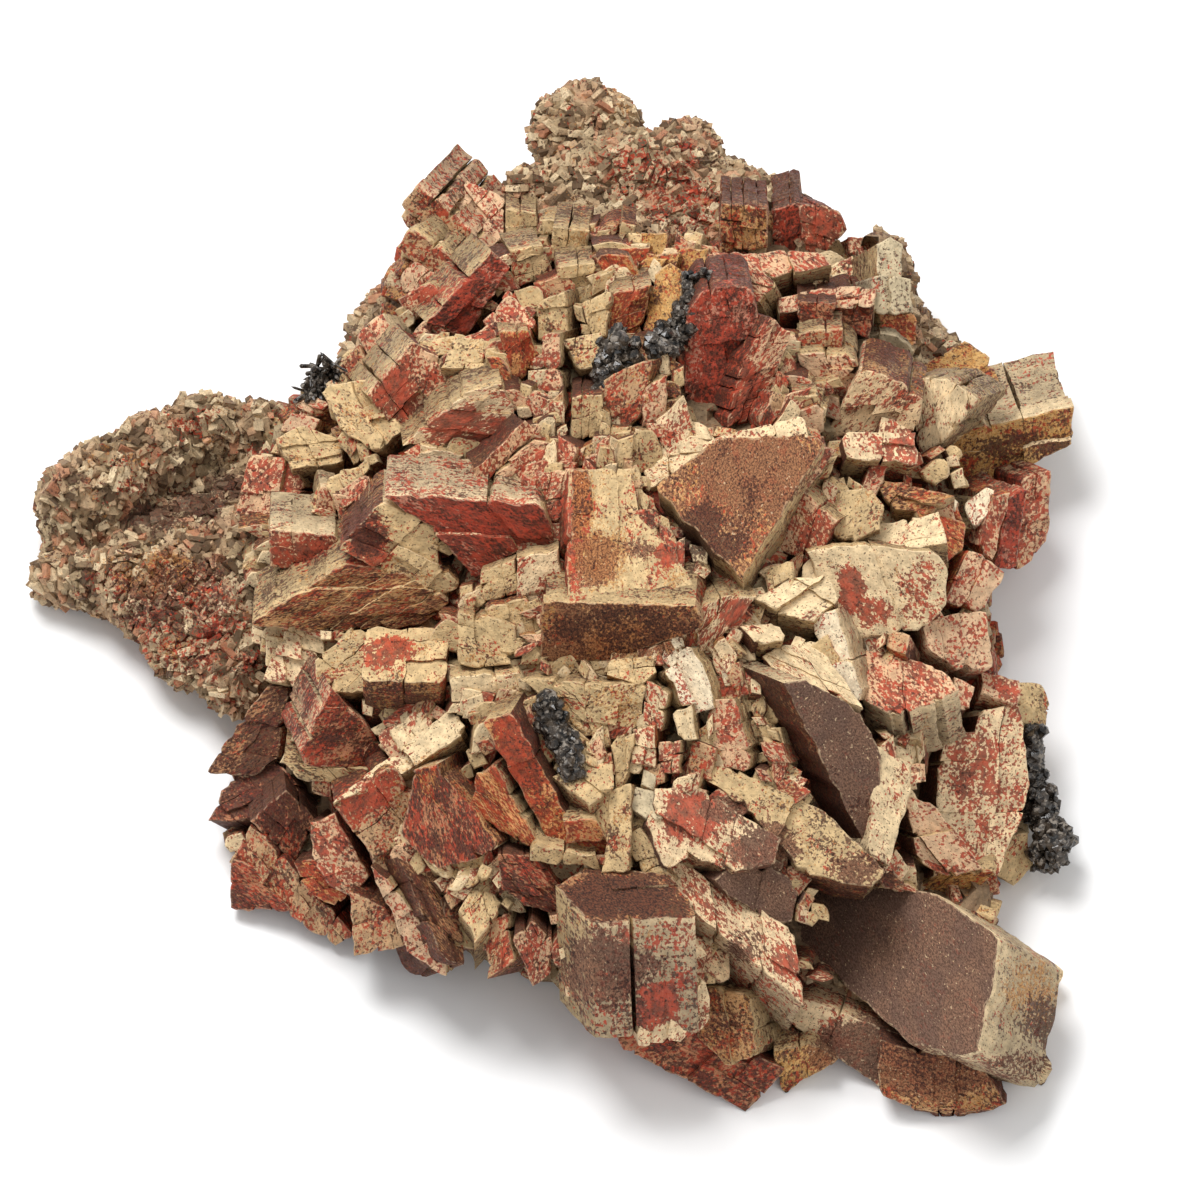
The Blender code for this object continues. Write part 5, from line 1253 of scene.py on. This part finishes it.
def addShard(bm, base, axis, radius, length, turned, body):
    ring = [(math.cos(i * math.pi / 3), math.sin(i * math.pi / 3)) for i in range(6)]
    turn = Vector((0, 0, 1)).rotation_difference(axis).to_matrix() @ Matrix.Rotation(turned, 3, "Z")
    foot = [bm.verts.new((base + turn @ Vector((x * radius * 0.9, y * radius * 0.9, -1.0))) * mm) for x, y in ring]
    neck = [bm.verts.new((base + turn @ Vector((x * radius, y * radius, length * body))) * mm) for x, y in ring]
    tip = bm.verts.new((base + turn @ Vector((radius * 0.15, 0.0, length))) * mm)
    bm.faces.new(foot[::-1])
    for i in range(6):
        j = (i + 1) % 6
        bm.faces.new((foot[i], foot[j], neck[j], neck[i]))
        bm.faces.new((neck[i], neck[j], tip))


def buildQuartz(material):
    for index, (name, rows) in enumerate(quartzTufts.items()):
        rng = random.Random(shardLook["seed"] + index)
        bm = bmesh.new()
        for x, u, lift, facing, lean, length, radius in rows:
            facing, lean = math.radians(facing), math.radians(lean)
            spin = Vector((math.sin(lean) * math.cos(facing), math.sin(lean) * math.sin(facing), math.cos(lean)))
            line = Vector(spin @ Matrix(showAxes.tolist()))
            start = Vector(showAxes.T @ np.array([x, u, domeDepth(x, u) + lift - 2.0]))
            needle = name.endswith("left")
            for _ in range(shardLook["perCrystal"]):
                along = rng.uniform(-0.45, 0.45) * length
                aside = Vector([rng.gauss(0.0, 1.0) for _ in range(3)])
                aside = (aside - line * aside.dot(line)).normalized()
                base = start + line * along + aside * radius * rng.uniform(0.1, 0.75)
                axis = (aside * 0.7 + line * rng.uniform(-1.0, 1.2) + Vector(viewer) * 0.5).normalized()
                thick = rng.uniform(*shardLook["needleRadius" if needle else "radius"])
                addShard(bm, base, axis, thick, rng.uniform(*shardLook["length"]) * (1.2 if needle else 1.0),
                         rng.uniform(0.0, 1.0), rng.uniform(0.55, 0.85))
        for vertex in bm.verts:
            for axis in range(3):
                vertex.co[axis] = min(max(vertex.co[axis], lowest[axis] * mm), highest[axis] * mm)
        mesh = bpy.data.meshes.new(f"{name}_shards")
        bm.to_mesh(mesh)
        bm.free()
        finishPiece(newObject(f"{name}_shards", mesh), material, "smoky_quartz", name)


stageLook = {"floorHalf": 3.0, "worldStrength": 0.60, "keySize": 0.8, "keyPower": 25.0,
             "fillSize": 1.2, "fillPower": 5.0}
cameraLook = {"focal": 600.0, "sensor": 36.0, "reach": 30.0, "distance": 6.06}


def buildStage():
    half = stageLook["floorHalf"]
    mesh = bpy.data.meshes.new("floor")
    mesh.from_pydata([(-half, -half, 0), (half, -half, 0), (half, half, 0), (-half, half, 0)], [], [(0, 1, 2, 3)])
    floor = newObject("floor", mesh)
    material, _, shader = newMaterial("floorFinish")
    shader.inputs["Base Color"].default_value = (0.93, 0.93, 0.93, 1.0)
    shader.inputs["Roughness"].default_value = 0.9
    mesh.materials.append(material)
    world = bpy.data.worlds.new("studio")
    bpy.context.scene.world = world
    world.use_nodes = True
    world.node_tree.nodes["Background"].inputs[0].default_value = (1.0, 1.0, 1.0, 1.0)
    world.node_tree.nodes["Background"].inputs[1].default_value = stageLook["worldStrength"]
    for name, place, power, size in (("key", (-0.40, 0.50, 1.45), stageLook["keyPower"], stageLook["keySize"]),
                                     ("fill", (0.9, -0.8, 1.3), stageLook["fillPower"], stageLook["fillSize"])):
        light = bpy.data.lights.new(name, "AREA")
        light.energy, light.size = power, size
        lamp = bpy.data.objects.new(name, light)
        lamp.location = place
        lamp.rotation_euler = (-Vector(place)).to_track_quat("-Z", "Y").to_euler()
        bpy.context.scene.collection.objects.link(lamp)


def buildCamera():
    camera = bpy.data.cameras.new("camera")
    camera.lens, camera.sensor_width, camera.clip_end = (cameraLook[name] for name in ("focal", "sensor", "reach"))
    holder = bpy.data.objects.new("camera", camera)
    bpy.context.scene.collection.objects.link(holder)
    towards = Vector(viewer)
    holder.location = towards * cameraLook["distance"]
    holder.rotation_euler = (-towards).to_track_quat("-Z", "Y").to_euler()
    bpy.context.scene.camera = holder


bpy.context.scene.view_settings.view_transform = "Standard"
for makeGroup in (makeStainMask, makeIronStains, makeMottle, makeRelief):
    makeGroup()
microclineFinish, rockFinish, quartzFinish = makeMicroclineFinish(), makeRockFinish(), makeQuartzFinish()
print("finishes made")
for groupIndex, (groupName, rows) in enumerate(crystalGroups.items()):
    rng = random.Random(100 + groupIndex)
    parts = newParts()
    for row in rows:
        addBlocks(parts, showAxes, np.zeros(3), crystalFace(row), row[6], row[4].split(),
                  row[5] * blockLook["cellScale"], rng, swell=blockLook["swell"])
    crystalPiece(groupName, parts, microclineFinish)
print("large crystals made")
front, caps = mapCrystals()
gapParts = newParts()
fillGaps(gapParts, front, caps)
crystalPiece("small_crystals", gapParts, microclineFinish)
backParts = newParts()
coverBack(backParts)
crystalPiece("back_crystals", backParts, microclineFinish)
buildRock(rockFinish, microclineFinish, caps)
print("rock made")
buildQuartz(quartzFinish)
buildStage()
buildCamera()
